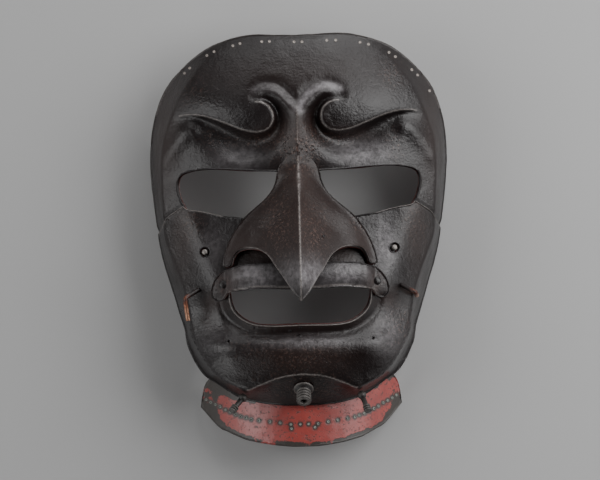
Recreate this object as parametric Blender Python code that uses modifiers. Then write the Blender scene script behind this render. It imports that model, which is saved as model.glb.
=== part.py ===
"""Full-face armour mask of a beaked mountain spirit, hammered from iron sheet and lacquered.

The mask lies on its back edge with the face up: +X to the viewer's right, +Y to the brow, +Z
out of the face. The plates are shells drawn in plan and lifted onto one modelled face, so each
laps its neighbour. The plan is drawn in millimetres at the size of the real mask; the driving
dimensions scale it.
"""
import math

import bmesh
import bpy
import numpy as np
from mathutils import Vector
from mathutils.geometry import delaunay_2d_cdt

MM = 0.001

# Driving dimensions, in millimetres.
FACE_WIDTH = 177.0          # across the temples
FACE_HEIGHT = 221.3         # forehead edge to the edge under the chin
FACE_DEPTH = 70.0           # back edge to the front of the chin
NOSE_RISE = 43.0            # beak above the face under it
WALL = 2.0                  # iron sheet with its lacquer on both sides
GAP = 0.3                   # left between pieces that touch
LAP = 5.0                   # one plate over the next
COLLAR_DROP = 24.4          # throat plate below the chin's edge
MESH_CELL = 5.4             # facet size on the plates
FITTING_SIDES = 16          # facets round a fitting
STEPS = 10                  # points to each span of a drawn curve

# The size that the plan below is drawn at.
DRAWN_WIDTH = 177.0
DRAWN_TOP = 122.7
DRAWN_FOOT = -98.6
DRAWN_DEPTH = 70.0

WIDE = FACE_WIDTH / DRAWN_WIDTH
TALL = FACE_HEIGHT / (DRAWN_TOP - DRAWN_FOOT)
DEEP = FACE_DEPTH / DRAWN_DEPTH

# Outline of the face, from the middle of the forehead round the right side to the chin.
RIM = [(0, 122.3), (13, 122.7), (27, 123), (39, 121), (51, 117), (60, 111.6), (69, 103.8),
       (76, 96), (81, 88), (85.3, 76), (87.6, 64), (88.5, 52), (88.2, 40), (87, 27),
       (85.2, 12), (83.3, -2), (80.5, -14), (76.5, -27), (72.7, -40), (69.2, -51.5),
       (68.6, -56), (67.4, -62), (64, -70), (60.2, -76.5), (56, -81), (51, -84),
       (44, -88.8), (37, -93), (26.5, -96.2), (14, -98), (0, -98.6)]
# Where the front of the face turns into its side wall: temple ridge, cheek crease, jaw, chin.
TURN = [(0, 120.6), (27, 120.8), (44, 115.6), (56, 106), (65, 96), (70.8, 86), (75.5, 75.5),
        (79, 66), (81.3, 57), (82, 47), (82, 37), (81.6, 25), (81, 12), (79.8, 1), (75, -12),
        (70.5, -24), (67.6, -36), (66.2, -46), (65.4, -54), (63, -60.5), (59.5, -67),
        (55, -74), (49.5, -80), (42.8, -84.6), (33, -88.6), (26, -86), (16, -82.4),
        (8, -80.6), (0, -80)]
# Height of the back edge above the table, against the angle round the face from the brow.
RIM_HEIGHT = [(0, 43), (0.22, 41), (0.42, 36), (0.6, 28), (0.75, 18), (0.9, 8), (1.05, 2),
              (1.2, 0), (2.39, 0), (2.467, 1.2), (2.523, 4.5), (2.584, 9.5), (2.642, 16),
              (2.724, 24), (2.797, 30.4), (2.9, 37.6), (3.013, 42.6), (math.pi, 44)]
# How the wall falls from the turn to the edge: 1 is straight, more is flared like a flange.
WALL_FLARE = [(0, 1.0), (1.0, 0.9), (2.1, 0.8), (2.35, 1.8), (2.7, 1.8), (2.9, 1.1), (math.pi, 0.9)]
WALL_LEAST = 1.2            # width of the wall in plan, where it is steepest
EDGE_SLACK = 0.15           # the wall's ends are level this far in from the turn and the edge
CENTRE_V = 10.0             # the angles round the face are taken about this point of the plan

# Height of the face down the middle and along the turn, against the plan's Y.
MIDDLE = [(-112, 50), (-98, 57), (-88, 62), (-80, 65), (-74, 67.6), (-68, 70), (-62, 70),
          (-56, 67), (-50, 65.5), (-40, 66), (-30, 66), (-16, 64), (0, 60), (20, 57), (40, 57),
          (52, 59), (65, 62), (80, 63), (95, 59), (110, 52), (124, 43)]
SIDE = [(-112, 24), (-82, 28), (-62, 28), (-40, 29), (-20, 31), (0, 33), (20, 35), (40, 36),
        (60, 34), (80, 31), (95, 26), (110, 18), (124, 8)]
SIDE_AT = 82.0
CROWN = 2.3

# Lower edge of the brow, from the temple in to the curl beside the nose and up round it.
BROW = [(74.5, 74.8), (71, 75.8), (66, 76.5), (58, 75.9), (50, 73.5), (42, 70.3), (36, 67.8),
        (31, 66.1), (26, 65.2), (21.5, 65.5), (18, 66.8), (15.6, 69.2), (14.3, 72.5),
        (14.5, 76), (15.9, 79), (18, 81.2), (21, 82.6), (25, 83.1), (29.5, 82.4)]
# Along that edge: how deep the hollow under it is, and how wide its sloping face.
BROW_DROP = [(0, 0.6), (0.08, 3.0), (0.22, 6.0), (0.42, 8.5), (0.55, 9.5), (0.68, 8.5),
             (0.8, 6.5), (0.9, 3.6), (1, 0)]
BROW_SLOPE = [(0, 1.6), (0.2, 3.2), (0.4, 5.5), (0.52, 6.5), (0.64, 4.6), (0.76, 3.0), (1, 2.4)]
BROW_RETURN = [(0, 8), (0.35, 9), (0.55, 8), (0.7, 5), (1, 4)]
# Ridge up from the nose, parting into the curled crest over each brow.
CREST = [(0, 44), (0, 58), (0, 70), (0, 81.6), (2.4, 84.8), (5.4, 88), (9, 91.2), (12.2, 93),
         (16.3, 94), (20.4, 93.7), (24.4, 92.3), (29, 89.8)]
CREST_FADE = [(0, 0.9), (0.1, 1), (0.8, 1), (0.92, 0.6), (1, 0)]
BROW_SPINE = [(26, 75), (36, 77), (48, 80.5), (62, 83), (72, 82)]
ORBIT = [(64, 67), (69, 64), (75, 57), (80, 49)]
CHEEK = [(67, 14), (62.5, 3), (59, -7), (54, -19), (50, -29)]

# Height of each soft ridge and its half width.
BROW_SWELL = (3.4, 11.0)
BRIDGE = (3.4, 5.0)         # from the nose up to where the crest parts
ROLL = (2.4, 4.5)           # rolled edge inside the crest's line
ROLL_AT = 3.6               # its top, from that line
GROOVE = (1.2, 3.2)         # depth and half width of the hollow outside the line
ORBIT_SWELL = (2.6, 4.5)
CHEEK_SWELL = (3.6, 9.0)
LIP = (2.0, 2.2)
LIP_GROOVE = (1.8, 2.4)
LIP_GROOVE_AT = 5.0         # below the mouth's edge
# Height, place and half sizes of each rounded swelling.
EYELID = (2.2, 38, 47, 26, 5)
JOWL = (3.4, 46, -62, 13, 12)
CHEEK_HOLLOW = (-2.2, 57, -38, 9, 8)
NOSTRIL_HOOD = (4.2, 30, -5, 10, 10)

# Openings: the eye's upper and outer edge, its lower edge, and the mouth.
EYE_TOP = [(7.5, 41.2), (12.6, 41.6), (26.9, 42.2), (36, 42.9), (45.8, 43.5), (55, 43.7),
           (63.6, 42.8), (69.8, 40.8), (72.2, 37.5), (72.6, 32.8), (71.3, 26.6), (69.3, 21.6)]
EYE_FOOT = [(69.3, 21.6), (67, 19.7), (60, 18.5), (52.9, 17), (45.3, 15), (38.5, 14.2),
            (32.8, 13.3), (28.5, 13.2)]
MOUTH = [(42.6, -24), (42.5, -31.5), (42.2, -36), (40.8, -40.4), (37.5, -44.6), (32.4, -48.2),
         (26.5, -50.2), (17.5, -51), (8, -50.9), (0, -50.8)]
# The cheek plate's flap behind each nostril, from under the nose round to the mouth's corner.
FLAP = [(33, 1.8), (26, 1.5), (18.5, 0), (14, -3.5), (11.8, -9), (11.4, -15), (11.8, -19),
        (14, -20.3), (22, -20.4), (32, -20.2), (38.6, -20.6), (42.6, -24)]
# The cheek plate's edge over the brow plate, from the eye's corner out to the back edge.
CHEEK_EDGE = [(69.3, 21.6), (74.3, 18.4), (79, 15), (81.7, 10.5)]
CHEEK_EDGE_END = 5.6        # where it meets the outline
BRIDGE_FOOT = 46.0          # the brow plate ends here under the nose's root

# The brow plate's lobe under each cheek, one wall lower, which holds a locking pin.
LOBE = [(78, -6.5), (71, -10), (64, -14.5), (57, -15.5), (51.5, -12), (50.2, -5), (53.5, 3),
        (59, 9), (64.5, 13), (68, 16.5)]
LOBE_END = -4.2             # where the lobe meets the outline
LOBE_TOP = 30.0
LOBE_DEPTH = 1.25 * (WALL + GAP)
STEP_WIDE = 4.0             # the step down into the lobe

# Nose plate: its edge on the face, and the arch of the nostril in to the beak's tip.
NOSE_EDGE = [(0, 52.5), (5, 52), (9, 49), (11.2, 44.5), (11.5, 40), (12, 34.9), (14.2, 29.3),
             (18.7, 23.6), (24.4, 18.8), (29.7, 14.6), (33, 11.4), (37.3, 5.2), (41.4, -2.6),
             (44.2, -10.3), (44.9, -14.6)]
NOSTRIL = [(44.9, -14.6), (42.4, -15.4), (40.2, -14.4), (39.4, -12.2), (38, -9), (35.2, -5.7),
           (30, -4), (25.7, -4.3), (21.7, -6.3), (18.3, -9.4), (14.7, -15), (10.7, -21),
           (7.5, -25), (4, -29.5), (0, -33.2)]
NOSE_HALF = [(56, 10), (50, 10.5), (44, 11.2), (40, 11.5), (34.9, 12), (29.3, 14.2),
             (23.6, 18.7), (18.8, 24.4), (14.6, 29.7), (5.2, 37.3), (-2.6, 41.4),
             (-10.3, 44.2), (-16.8, 45.2), (-36, 46)]
# Share of the nose's full rise along its ridge.
RIDGE_RISE = [(56, 0.0), (46, 0.05), (38, 0.26), (30, 0.42), (20, 0.58), (10, 0.71),
              (0, 0.83), (-10, 0.93), (-18, 0.985), (-24, 1.0), (-29, 0.975), (-33.2, 0.90),
              (-36, 0.84)]
FLANK = 1.35                # over 1 the sides of the nose are hollow
NOSE_ROOT = 34.0            # above this the nose plate never dips below the face

# Upper lip band riveted across from cheek to cheek.
BAND_TOP = [(0, -14.6), (20, -14.8), (33, -15.2), (40, -16.8), (45.6, -18.8), (49.8, -23),
            (51.7, -28.6)]
BAND_FOOT = [(51.7, -28.6), (50.9, -32.2), (48.2, -34), (45, -33.6), (42.6, -30.4),
             (39, -28.6), (33, -27.6), (26, -27), (14, -27.4), (0, -27.8)]
BAND_FRONT = 73.0
BAND_MIDDLE = -21.0         # middle of the band's width
BAND_HALF = 7.0
BAND_CROWN = 2.6            # roundness across the band
BAND_SPAN = 45.0
BAND_BOW = 9.0              # roundness along half the band
EAR_FROM, EAR_TO = 38.0, 44.0  # the band comes down onto the cheek between these

# Throat plate.
COLLAR_END = 60.0
COLLAR_END_V = -98.6
COLLAR_EAR = (57.6, -86)
COLLAR_FOOT = 2.2
COLLAR_STAND = 40.0         # how far the plate stands out at the middle
COLLAR_HEM = [(60, 0), (50, 0.467), (44, 0.61), (38, 0.733), (33, 0.816), (21, 0.926),
              (9, 0.988), (0, 1)]
COLLAR_CURVE = 2.2
COLLAR_LEAN = 0.0016        # the hem stands nearer the table, by this share a millimetre
JAW_V = -82.0

# Small fittings, in millimetres, each placed by its plan point on the face.
PIN_AT = (56.5, -5.8)
PIN_RADIUS = 1.8
PIN_STAND = 1.4
PIN_PLAY = 1.4              # clearance of a pin in its hole
SPOUT_AT = (0.0, -88.2)
SPOUT_BORE = 2.0
SPOUT_WALL = 2.0
SPOUT_LENGTH = 10.5
SPOUT_RINGS = 4
SPOUT_BED = 0.4             # the chin curves away under the drain's flat foot
PEG_AT = (34.4, -90.4)
PEG_RADIUS = 1.6
PEG_LENGTH = 14.5
PEG_BOSS = 2.6              # radius of the round foot
PEG_WAY = {"left": (0.57, -0.65, 0.50), "right": (0.31, -0.81, 0.50)}
HOOK_AT = (60.5, -28.6)
HOOK_ARM_WAY = (0.72, -0.40, 0.57)
HOOK_LEG_WAY = {"left": (-0.12, -0.95, -0.29), "right": (0.05, -0.12, -0.99)}
HOOK_RADIUS = 1.5
HOOK_ARM = 11.5
HOOK_LEG = 14.0
HOOK_BEND = 2.6
RIVET_AT = (45.4, -25.7)
RIVET_RADIUS = 2.4
RIVET_RISE = 1.0
RIVET_BED = 0.5             # the band's ear is hollow under a rivet's flat side

RUSSET = (0.030, 0.017, 0.014, 1.0)
RED = (0.36, 0.035, 0.022, 1.0)
BLACKENED = (0.022, 0.020, 0.020, 1.0)
COPPERY = (0.28, 0.12, 0.07, 1.0)

for old in list(bpy.data.objects):
    bpy.data.objects.remove(old, do_unlink=True)


def collection(name):
    found = bpy.data.collections.new(name)
    bpy.context.scene.collection.children.link(found)
    return found


MASK = collection("tengu mask")
CUTTERS = collection("cutters")


def lacquer(name, colour, roughness, metallic=0.0):
    """A plain finish for one sub-part."""
    made = bpy.data.materials.new(name)
    made.use_nodes = True
    shader = made.node_tree.nodes["Principled BSDF"]
    shader.inputs["Base Color"].default_value = colour
    shader.inputs["Roughness"].default_value = roughness
    shader.inputs["Metallic"].default_value = metallic
    made.diffuse_color = colour
    return made


def curve_through(points):
    """Smooth open curve through a few points."""
    p = np.array(points, float)
    q = np.vstack([2 * p[0] - p[1], p, 2 * p[-1] - p[-2]])
    t = np.linspace(0, 1, STEPS, endpoint=False)[:, None]
    runs = []
    for a, b, c, d in zip(q[:-3], q[1:-2], q[2:-1], q[3:]):
        runs.append(0.5 * (2 * b + (c - a) * t + (2 * a - 5 * b + 4 * c - d) * t ** 2
                           + (3 * b - a - 3 * c + d) * t ** 3))
    return np.vstack(runs + [p[-1:]])


def spaced(line, step):
    """The same line with its points about one step apart."""
    run = np.concatenate([[0], np.cumsum(np.hypot(*np.diff(line, axis=0).T))])
    count = max(2, int(round(run[-1] / step)) + 1)
    at = np.linspace(0, run[-1], count)
    return np.stack([np.interp(at, run, line[:, 0]), np.interp(at, run, line[:, 1])], 1)


def along(u, v, line):
    """Distance to a line, the share of its length there, and its side (+1 on the left)."""
    points = np.stack([u, v], 1)
    start, run = line[:-1], np.diff(line, axis=0)
    length = np.hypot(*run.T)
    begun = np.concatenate([[0], np.cumsum(length)])
    away = np.full(len(points), np.inf)
    share = np.zeros(len(points))
    side = np.ones(len(points))
    for index in range(len(run)):
        offset = points - start[index]
        t = np.clip(offset @ run[index] / length[index] ** 2, 0, 1)
        rest = offset - t[:, None] * run[index]
        reach = np.hypot(*rest.T)
        nearer = reach < away
        away[nearer] = reach[nearer]
        share[nearer] = (begun[index] + t * length[index])[nearer]
        turn = run[index][0] * offset[:, 1] - run[index][1] * offset[:, 0]
        side[nearer] = np.where(turn < 0, -1.0, 1.0)[nearer]
    return away, share / begun[-1], side


def beside(line, apart, low=0.0, high=1.0):
    """A line run along another on its right, over part of its length.

    The distance apart is one number, or pairs of share of the length and distance.
    """
    run = np.concatenate([[0], np.cumsum(np.hypot(*np.diff(line, axis=0).T))])
    share = run / run[-1]
    reach = read(apart, share) if isinstance(apart, list) else np.full(len(line), apart)
    way = np.gradient(line, axis=0)
    way = way / np.linalg.norm(way, axis=1, keepdims=True)
    moved = line + np.stack([way[:, 1], -way[:, 0]], 1) * reach[:, None]
    return moved[(share >= low) & (share <= high)]


def ease(low, high, value):
    t = np.clip((value - low) / (high - low), 0, 1)
    return t * t * (3 - 2 * t)


def read(pairs, value):
    """Straight-line reading of a short table."""
    keys, values = zip(*pairs)
    return np.interp(value, keys, values)


def read_smooth(pairs, value):
    line = curve_through(pairs)
    return np.interp(value, line[:, 0], line[:, 1])


def ridge(away, height, half):
    """Height of a soft ridge at some distance from its line."""
    return height * np.exp(-(away / half) ** 2)


def swelling(u, v, height, at_u, at_v, wide, tall):
    return height * np.exp(-((u - at_u) / wide) ** 2 - ((v - at_v) / tall) ** 2)


def as_polar(points):
    line = curve_through(points)
    return (np.arctan2(line[:, 0], line[:, 1] - CENTRE_V),
            np.hypot(line[:, 0], line[:, 1] - CENTRE_V))


RIM_POLAR = as_polar(RIM)
TURN_POLAR = as_polar(TURN)
RIM_LINE = curve_through(RIM)
BROW_LINE = curve_through(BROW)
CREST_LINE = curve_through(CREST)
MOUTH_LINE = curve_through(MOUTH)
BROW_FOOT_LINE = beside(BROW_LINE, [(share, -wide) for share, wide in BROW_SLOPE], 0.02, 0.93)
ROLL_LINE = beside(CREST_LINE, ROLL_AT, 0.52, 0.93)
LIP_GROOVE_LINE = beside(MOUTH_LINE, -LIP_GROOVE_AT, 0.22, 1)


def rim_at(v):
    """Point of the face's outline at one height of the plan, on its long side."""
    flank = RIM_LINE[RIM_LINE[:, 1] < 90][::-1]
    return (float(np.interp(v, flank[:, 1], flank[:, 0])), v)


def rim_from(v):
    """The outline from the middle of the forehead down to one height of the plan."""
    kept = (RIM_LINE[:, 1] > v + 1) | (RIM_LINE[:, 0] < 1)
    kept &= np.arange(len(RIM_LINE)) < len(RIM_LINE) / 2
    return np.vstack([RIM_LINE[kept], [rim_at(v)]])


def rim_below(v):
    """The outline from one height of the plan down to the middle of the chin."""
    return np.vstack([[rim_at(v)], RIM_LINE[RIM_LINE[:, 1] < v - 1]])


CHEEK_EDGE_LINE = curve_through(CHEEK_EDGE + [rim_at(CHEEK_EDGE_END)])


def front(u, v):
    """The face's main swell, before its features."""
    middle, side = read_smooth(MIDDLE, v), read_smooth(SIDE, v)
    return middle - (middle - side) * (u / SIDE_AT) ** CROWN


def brow_relief(u, v):
    """Overhanging brow, the hollow under it, the crest and the ridge to the nose."""
    spine, _, _ = along(u, v, curve_through(BROW_SPINE))
    height = ridge(spine, *BROW_SWELL)
    away, share, side = along(u, v, BROW_LINE)
    drop, slope = read(BROW_DROP, share), read(BROW_SLOPE, share)
    falling = np.sin(0.5 * math.pi * np.clip(away / slope, 0, 1))
    rising = ridge(np.maximum(away - slope, 0), 1, read(BROW_RETURN, share))
    height -= np.where(side > 0, drop * falling * rising, 0)
    away, share, side = along(u, v, CREST_LINE)
    bridge = BRIDGE[0] * np.exp(-away / BRIDGE[1])
    climb = (ROLL[0] + GROOVE[0]) * np.sin(0.5 * math.pi * np.minimum(away / ROLL_AT, 1))
    roll = np.where(away < ROLL_AT, climb - GROOVE[0], ridge(away - ROLL_AT, *ROLL))
    curled = np.where(side < 0, roll, -ridge(away, *GROOVE))
    arm = ease(0.40, 0.56, share)
    return height + read(CREST_FADE, share) * (bridge * (1 - arm) + curled * arm)


def cheek_relief(u, v):
    """Lid over the eye, bone beside it, full cheek, jowl and chin."""
    orbit, _, _ = along(u, v, curve_through(ORBIT))
    cheek, _, _ = along(u, v, curve_through(CHEEK))
    height = ridge(orbit, *ORBIT_SWELL) + ridge(cheek, *CHEEK_SWELL)
    height += swelling(u, v, *EYELID) + swelling(u, v, *JOWL) + swelling(u, v, *CHEEK_HOLLOW)
    away, _, _ = along(u, v, MOUTH_LINE)
    lip = ridge(away, *LIP) - ridge(away - LIP_GROOVE_AT, *LIP_GROOVE)
    return height + lip * ease(-30, -38, v)


def face_height(u, v):
    """Height of the modelled face over its plan, side walls included (drawn millimetres)."""
    u = np.abs(u)
    angle, reach = np.arctan2(u, v - CENTRE_V), np.hypot(u, v - CENTRE_V)
    rim = np.interp(angle, *RIM_POLAR)
    turn = np.minimum(np.interp(angle, *TURN_POLAR), rim - WALL_LEAST)
    pull = np.minimum(1, turn / np.maximum(reach, 1e-6))
    at_u, at_v = u * pull, CENTRE_V + (v - CENTRE_V) * pull
    height = front(at_u, at_v) + brow_relief(at_u, at_v) + cheek_relief(at_u, at_v)
    left = np.clip((rim - reach - EDGE_SLACK) / (rim - turn - 2 * EDGE_SLACK), 0, 1)
    foot = read(RIM_HEIGHT, angle)
    fallen = foot + (height - foot) * left ** read(WALL_FLARE, angle)
    return np.where(reach > turn, fallen, height)


def nose_height(u, v):
    """The beak's own surface: a sharp ridge with hollow flanks, hooding the nostrils."""
    u = np.abs(u)
    half = read_smooth(sorted(NOSE_HALF), v)
    foot = face_height(half, v)
    rise = NOSE_RISE / DEEP * read_smooth(sorted(RIDGE_RISE), v)
    top = face_height(np.zeros_like(v), v) + rise
    flank = (1 - np.clip(u / half, 0, 1)) ** FLANK
    hood = swelling(u, v, *NOSTRIL_HOOD) * ease(0, 0.25, 1 - u / half)
    beak = foot + (top - foot) * flank + hood
    return np.where(v > NOSE_ROOT, np.maximum(beak, face_height(u, v)), beak)


def band_height(u, v):
    """The lip band bows forward from ear to ear and is crowned across."""
    u = np.abs(u)
    ear = face_height(u, v)
    across = ((v - BAND_MIDDLE) / BAND_HALF) ** 2
    bow = BAND_FRONT - BAND_BOW * (u / BAND_SPAN) ** 2 - BAND_CROWN * across
    return np.where(u > EAR_FROM, ear + (bow - ear) * ease(EAR_TO, EAR_FROM, u), bow)


def collar_height(u, v):
    sweep = np.clip(np.abs(u) / COLLAR_END, 0, 1) ** COLLAR_CURVE
    lean = 1 + COLLAR_LEAN * (v - COLLAR_END_V)
    return COLLAR_FOOT + (COLLAR_STAND - COLLAR_FOOT) * (1 - sweep) * lean


def place(surface, u, v):
    """Real position of a plan point on a surface, in millimetres."""
    return np.stack([u * WIDE, v * TALL, surface(u, v) * DEEP], 1)


def square_to(surface, u, v):
    """Direction square to the surface, taken over a short reach so that it turns gently."""
    reach = 1.6
    steepest = 12 * reach
    across = place(surface, u + reach, v) - place(surface, u - reach, v)
    upward = place(surface, u, v + reach) - place(surface, u, v - reach)
    across[:, 2] = np.clip(across[:, 2], -steepest, steepest)
    upward[:, 2] = np.clip(upward[:, 2], -steepest, steepest)
    normal = np.cross(across, upward)
    return normal / np.linalg.norm(normal, axis=1, keepdims=True)


def inside(u, v, loop):
    """Whether each point lies inside a closed loop."""
    hit = np.zeros(len(u), bool)
    for (au, av), (bu, bv) in zip(loop, np.roll(loop, -1, axis=0)):
        crosses = (av > v) != (bv > v)
        reach = au + (v - av) * (bu - au) / np.where(bv == av, 1e-12, bv - av)
        hit ^= crosses & (u < reach)
    return hit


def plan_sheet(edges, folds=(), holes=(), cell=MESH_CELL):
    """Triangulated plan of half a plate, its edges and folds kept, open at the middle."""
    smooth = [curve_through(edge) if len(edge) < 40 else np.array(edge) for edge in edges]
    rings = [np.vstack([spaced(edge, cell * 0.85)[:-1] for edge in smooth])]
    rings += [np.array(hole) for hole in holes]
    fold_lines = [spaced(np.array(fold), cell * 0.8) for fold in folds]
    points, links = [], []
    for ring in rings:
        first = len(points)
        points += [tuple(p) for p in ring]
        links += [(first + i, first + (i + 1) % len(ring)) for i in range(len(ring))]
    for line in fold_lines:
        rim_away = along(line[:, 0], line[:, 1], np.vstack([rings[0], rings[0][:1]]))[0]
        clear = (rim_away > cell * 0.3) & inside(line[:, 0], line[:, 1], rings[0])
        kept = line[clear]
        first = len(points)
        points += [tuple(p) for p in kept]
        links += [(first + i, first + i + 1) for i in range(len(kept) - 1)
                  if math.dist(kept[i], kept[i + 1]) < 2 * cell]
    low, high = rings[0].min(0), rings[0].max(0)
    rows = np.arange(low[1], high[1], cell * math.sqrt(3) / 2)
    grid = [(u + (row % 2) * cell / 2, v) for row, v in enumerate(rows)
            for u in np.arange(low[0], high[0] + cell, cell)]
    u, v = np.array(grid).T
    clear = inside(u, v, rings[0])
    for ring in rings[1:]:
        clear &= ~inside(u, v, ring)
    for line in [np.vstack([ring, ring[:1]]) for ring in rings] + fold_lines:
        clear &= along(u, v, line)[0] > cell * 0.62
    points += list(zip(u[clear], v[clear]))
    verts, _, faces, _, _, _ = delaunay_2d_cdt([Vector(p) for p in points], links, [], 0, 1e-4)
    flat = np.array([tuple(p) for p in verts])
    faces = np.array([tuple(f) for f in faces])
    cu, cv = flat[faces].mean(1).T
    kept = inside(cu, cv, rings[0])
    for ring in rings[1:]:
        kept &= ~inside(cu, cv, ring)
    return flat, faces[kept]


def add_object(name, mesh, material, home=MASK):
    made = bpy.data.objects.new(name, mesh)
    home.objects.link(made)
    mesh.materials.append(material)
    return made


def plate(name, plan, surface, material, lift=None):
    """A sheet-iron plate: the half plan set on a surface, mirrored and given its wall."""
    flat, faces = plan
    u, v = flat.T
    spots = place(surface, u, v)
    if lift is not None:
        spots = spots + square_to(surface, u, v) * lift(u, v)[:, None]
    spots[np.abs(u) < 1e-3, 0] = 0.0
    mesh = bpy.data.meshes.new(name)
    mesh.from_pydata((spots * MM).tolist(), [], faces.tolist())
    work = bmesh.new()
    work.from_mesh(mesh)
    loose = [vert for vert in work.verts if not vert.link_faces]
    bmesh.ops.delete(work, geom=loose, context="VERTS")
    work.to_mesh(mesh)
    work.free()
    made = add_object(name, mesh, material)
    mirror = made.modifiers.new("both sides", "MIRROR")
    mirror.merge_threshold = 0.00005
    wall = made.modifiers.new("sheet", "SOLIDIFY")
    wall.thickness = WALL * MM
    wall.offset = -1
    wall.use_even_offset = False
    mesh.shade_smooth()
    mesh.set_sharp_from_angle(angle=math.radians(40))
    return made


russet =lacquer("russet lacquered iron", RUSSET, 0.32)
red = lacquer("red lacquered iron", RED, 0.35)
blackened = lacquer("blackened iron", BLACKENED, 0.4)
coppery = lacquer("worn copper", COPPERY, 0.45, 0.6)


# Forehead and brow plate. Its lobes pass under the cheeks, one wall lower, and hold the pins.
bridge_foot = (EYE_TOP[0][0], BRIDGE_FOOT)
brow_edges = [[(0, BRIDGE_FOOT), bridge_foot], [bridge_foot, EYE_TOP[0]], EYE_TOP,
              [EYE_TOP[-1], LOBE[-1]], ([rim_at(LOBE_END)] + LOBE)[::-1],
              rim_from(LOBE_END)[::-1], [RIM[0], (0, BRIDGE_FOOT)]]


def lobe_drop(u, v):
    """How far the brow plate sinks to pass under the cheek plate."""
    away, _, side = along(np.abs(u), v, CHEEK_EDGE_LINE)
    above = np.where((side > 0) & (np.abs(u) > CHEEK_EDGE[0][0]), away, -away)
    return -LOBE_DEPTH * (1 - ease(0.4, STEP_WIDE, above)) * (v < LOBE_TOP)


turn_line = curve_through(TURN)
upper_turn, lower_turn = turn_line[STEPS:15 * STEPS], turn_line[11 * STEPS:]
crest_arm = CREST_LINE[3 * STEPS:]
lobe_step = beside(CHEEK_EDGE_LINE, -STEP_WIDE, 0.1)
brow_plan = plan_sheet(brow_edges, [BROW_LINE, BROW_FOOT_LINE, crest_arm, ROLL_LINE, upper_turn,
                                    CHEEK_EDGE_LINE, lobe_step])
plate("brow_plate", brow_plan, face_height, russet, lobe_drop)

# Cheek and chin plate: both cheeks, the mouth's rim, the chin and what closes it beneath.
under_nose = beside(curve_through(NOSE_EDGE), LAP)
lapped = (under_nose[:, 1] < EYE_FOOT[-1][1] - 3) & (under_nose[:, 1] > FLAP[0][1] + 1)
nose_seat = np.vstack([[EYE_FOOT[-1]], under_nose[lapped], [FLAP[0]]])
cheek_edges = [MOUTH[::-1], FLAP[::-1], nose_seat[::-1], EYE_FOOT[::-1], CHEEK_EDGE_LINE,
               rim_below(CHEEK_EDGE_END), [RIM[-1], MOUTH[-1]]]
cheek_plan = plan_sheet(cheek_edges, [lower_turn, curve_through(CHEEK), LIP_GROOVE_LINE])
cheeks = plate("cheek_and_chin_plate", cheek_plan, face_height, russet)


def lapping(u, v):
    """Lift of a plate that lies on another."""
    return np.full(len(u), WALL + 2 * GAP)


# Nose plate, over the brow plate at its root and over both cheeks.
nose_plan = plan_sheet([[NOSTRIL[-1], NOSE_EDGE[0]], NOSE_EDGE, NOSTRIL])
plate("nose", nose_plan, nose_height, russet, lapping)

# Upper lip band, its ears on the cheeks.
band_plan = plan_sheet([BAND_TOP, BAND_FOOT, [BAND_FOOT[-1], BAND_TOP[0]]],
                       cell=MESH_CELL * 0.9)
plate("lip_band", band_plan, band_height, russet, lapping)

# Throat plate, tucked behind the chin's edge.
tuck = beside(RIM_LINE[RIM_LINE[:, 1] < JAW_V], [(0, 0.5 * LAP), (1, 0.75 * LAP)])
collar_top = np.vstack([tuck, [(0, RIM[-1][1] + 0.75 * LAP)]])[::-1]
collar_top = collar_top[collar_top[:, 0] >= 0]
collar_hem = [(u, COLLAR_END_V - COLLAR_DROP * share / TALL) for u, share in COLLAR_HEM]
collar_edges = [collar_top, [tuple(collar_top[-1]), COLLAR_EAR, (COLLAR_END, COLLAR_END_V)],
                collar_hem, [collar_hem[-1], tuple(collar_top[0])]]
plate("throat_collar", plan_sheet(collar_edges), collar_height, red)


def seat(at, side, surface=face_height, lift=0.0):
    """Point on the outside of the face and the direction square to it, on one side."""
    u, v = np.array([at[0]]), np.array([at[1]])
    way = square_to(surface, u, v)[0]
    spot = place(surface, u, v)[0] + way * lift
    mirrored = np.array([side, 1, 1])
    return Vector(spot * mirrored), Vector(way * mirrored)


def turned(name, profile, spot, way, material):
    """A round fitting: its profile, from the face outward, spun about its own axis."""
    mesh = bpy.data.meshes.new(name)
    work = bmesh.new()
    verts = [work.verts.new((radius * MM, 0, height * MM)) for radius, height in profile[::-1]]
    for first, second in zip(verts, verts[1:]):
        work.edges.new((first, second))
    work.to_mesh(mesh)
    work.free()
    made = add_object(name, mesh, material)
    made.location = spot * MM
    made.rotation_euler = way.to_track_quat("Z", "X").to_euler()
    spin = made.modifiers.new("turned", "SCREW")
    spin.steps = spin.render_steps = FITTING_SIDES
    spin.use_merge_vertices = True
    spin.merge_threshold = 0.00001
    spin.use_smooth_shade = True
    return made


def drill(plates, name, radius, spot, way, depth=12.0):
    """Round hole through a plate."""
    bpy.ops.mesh.primitive_cylinder_add(vertices=FITTING_SIDES, radius=radius * MM,
                                        depth=depth * MM, location=spot * MM,
                                        rotation=way.to_track_quat("Z", "X").to_euler())
    cutter = bpy.context.object
    cutter.name = name
    for home in list(cutter.users_collection):
        home.objects.unlink(cutter)
    CUTTERS.objects.link(cutter)
    cutter.hide_render = True
    cutter.display_type = "WIRE"
    cut = plates.modifiers.new(name, "BOOLEAN")
    cut.operation = "DIFFERENCE"
    cut.object = cutter


SIDES = {"left": -1, "right": 1}

# Locking pins: fixed in the brow plate's lobes, they stand through holes in the cheeks.
pin_foot = GAP - LOBE_DEPTH
pin_profile = [(0, pin_foot), (PIN_RADIUS, pin_foot), (PIN_RADIUS, PIN_STAND - 0.5),
               (PIN_RADIUS - 0.4, PIN_STAND), (0, PIN_STAND)]
for side, sign in SIDES.items():
    spot, way = seat(PIN_AT, sign)
    turned("locking_pin_" + side, pin_profile, spot, way, blackened)
    drill(cheeks, "pin_hole_" + side, PIN_RADIUS + PIN_PLAY, spot, way, 2 * WALL + 1)

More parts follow.
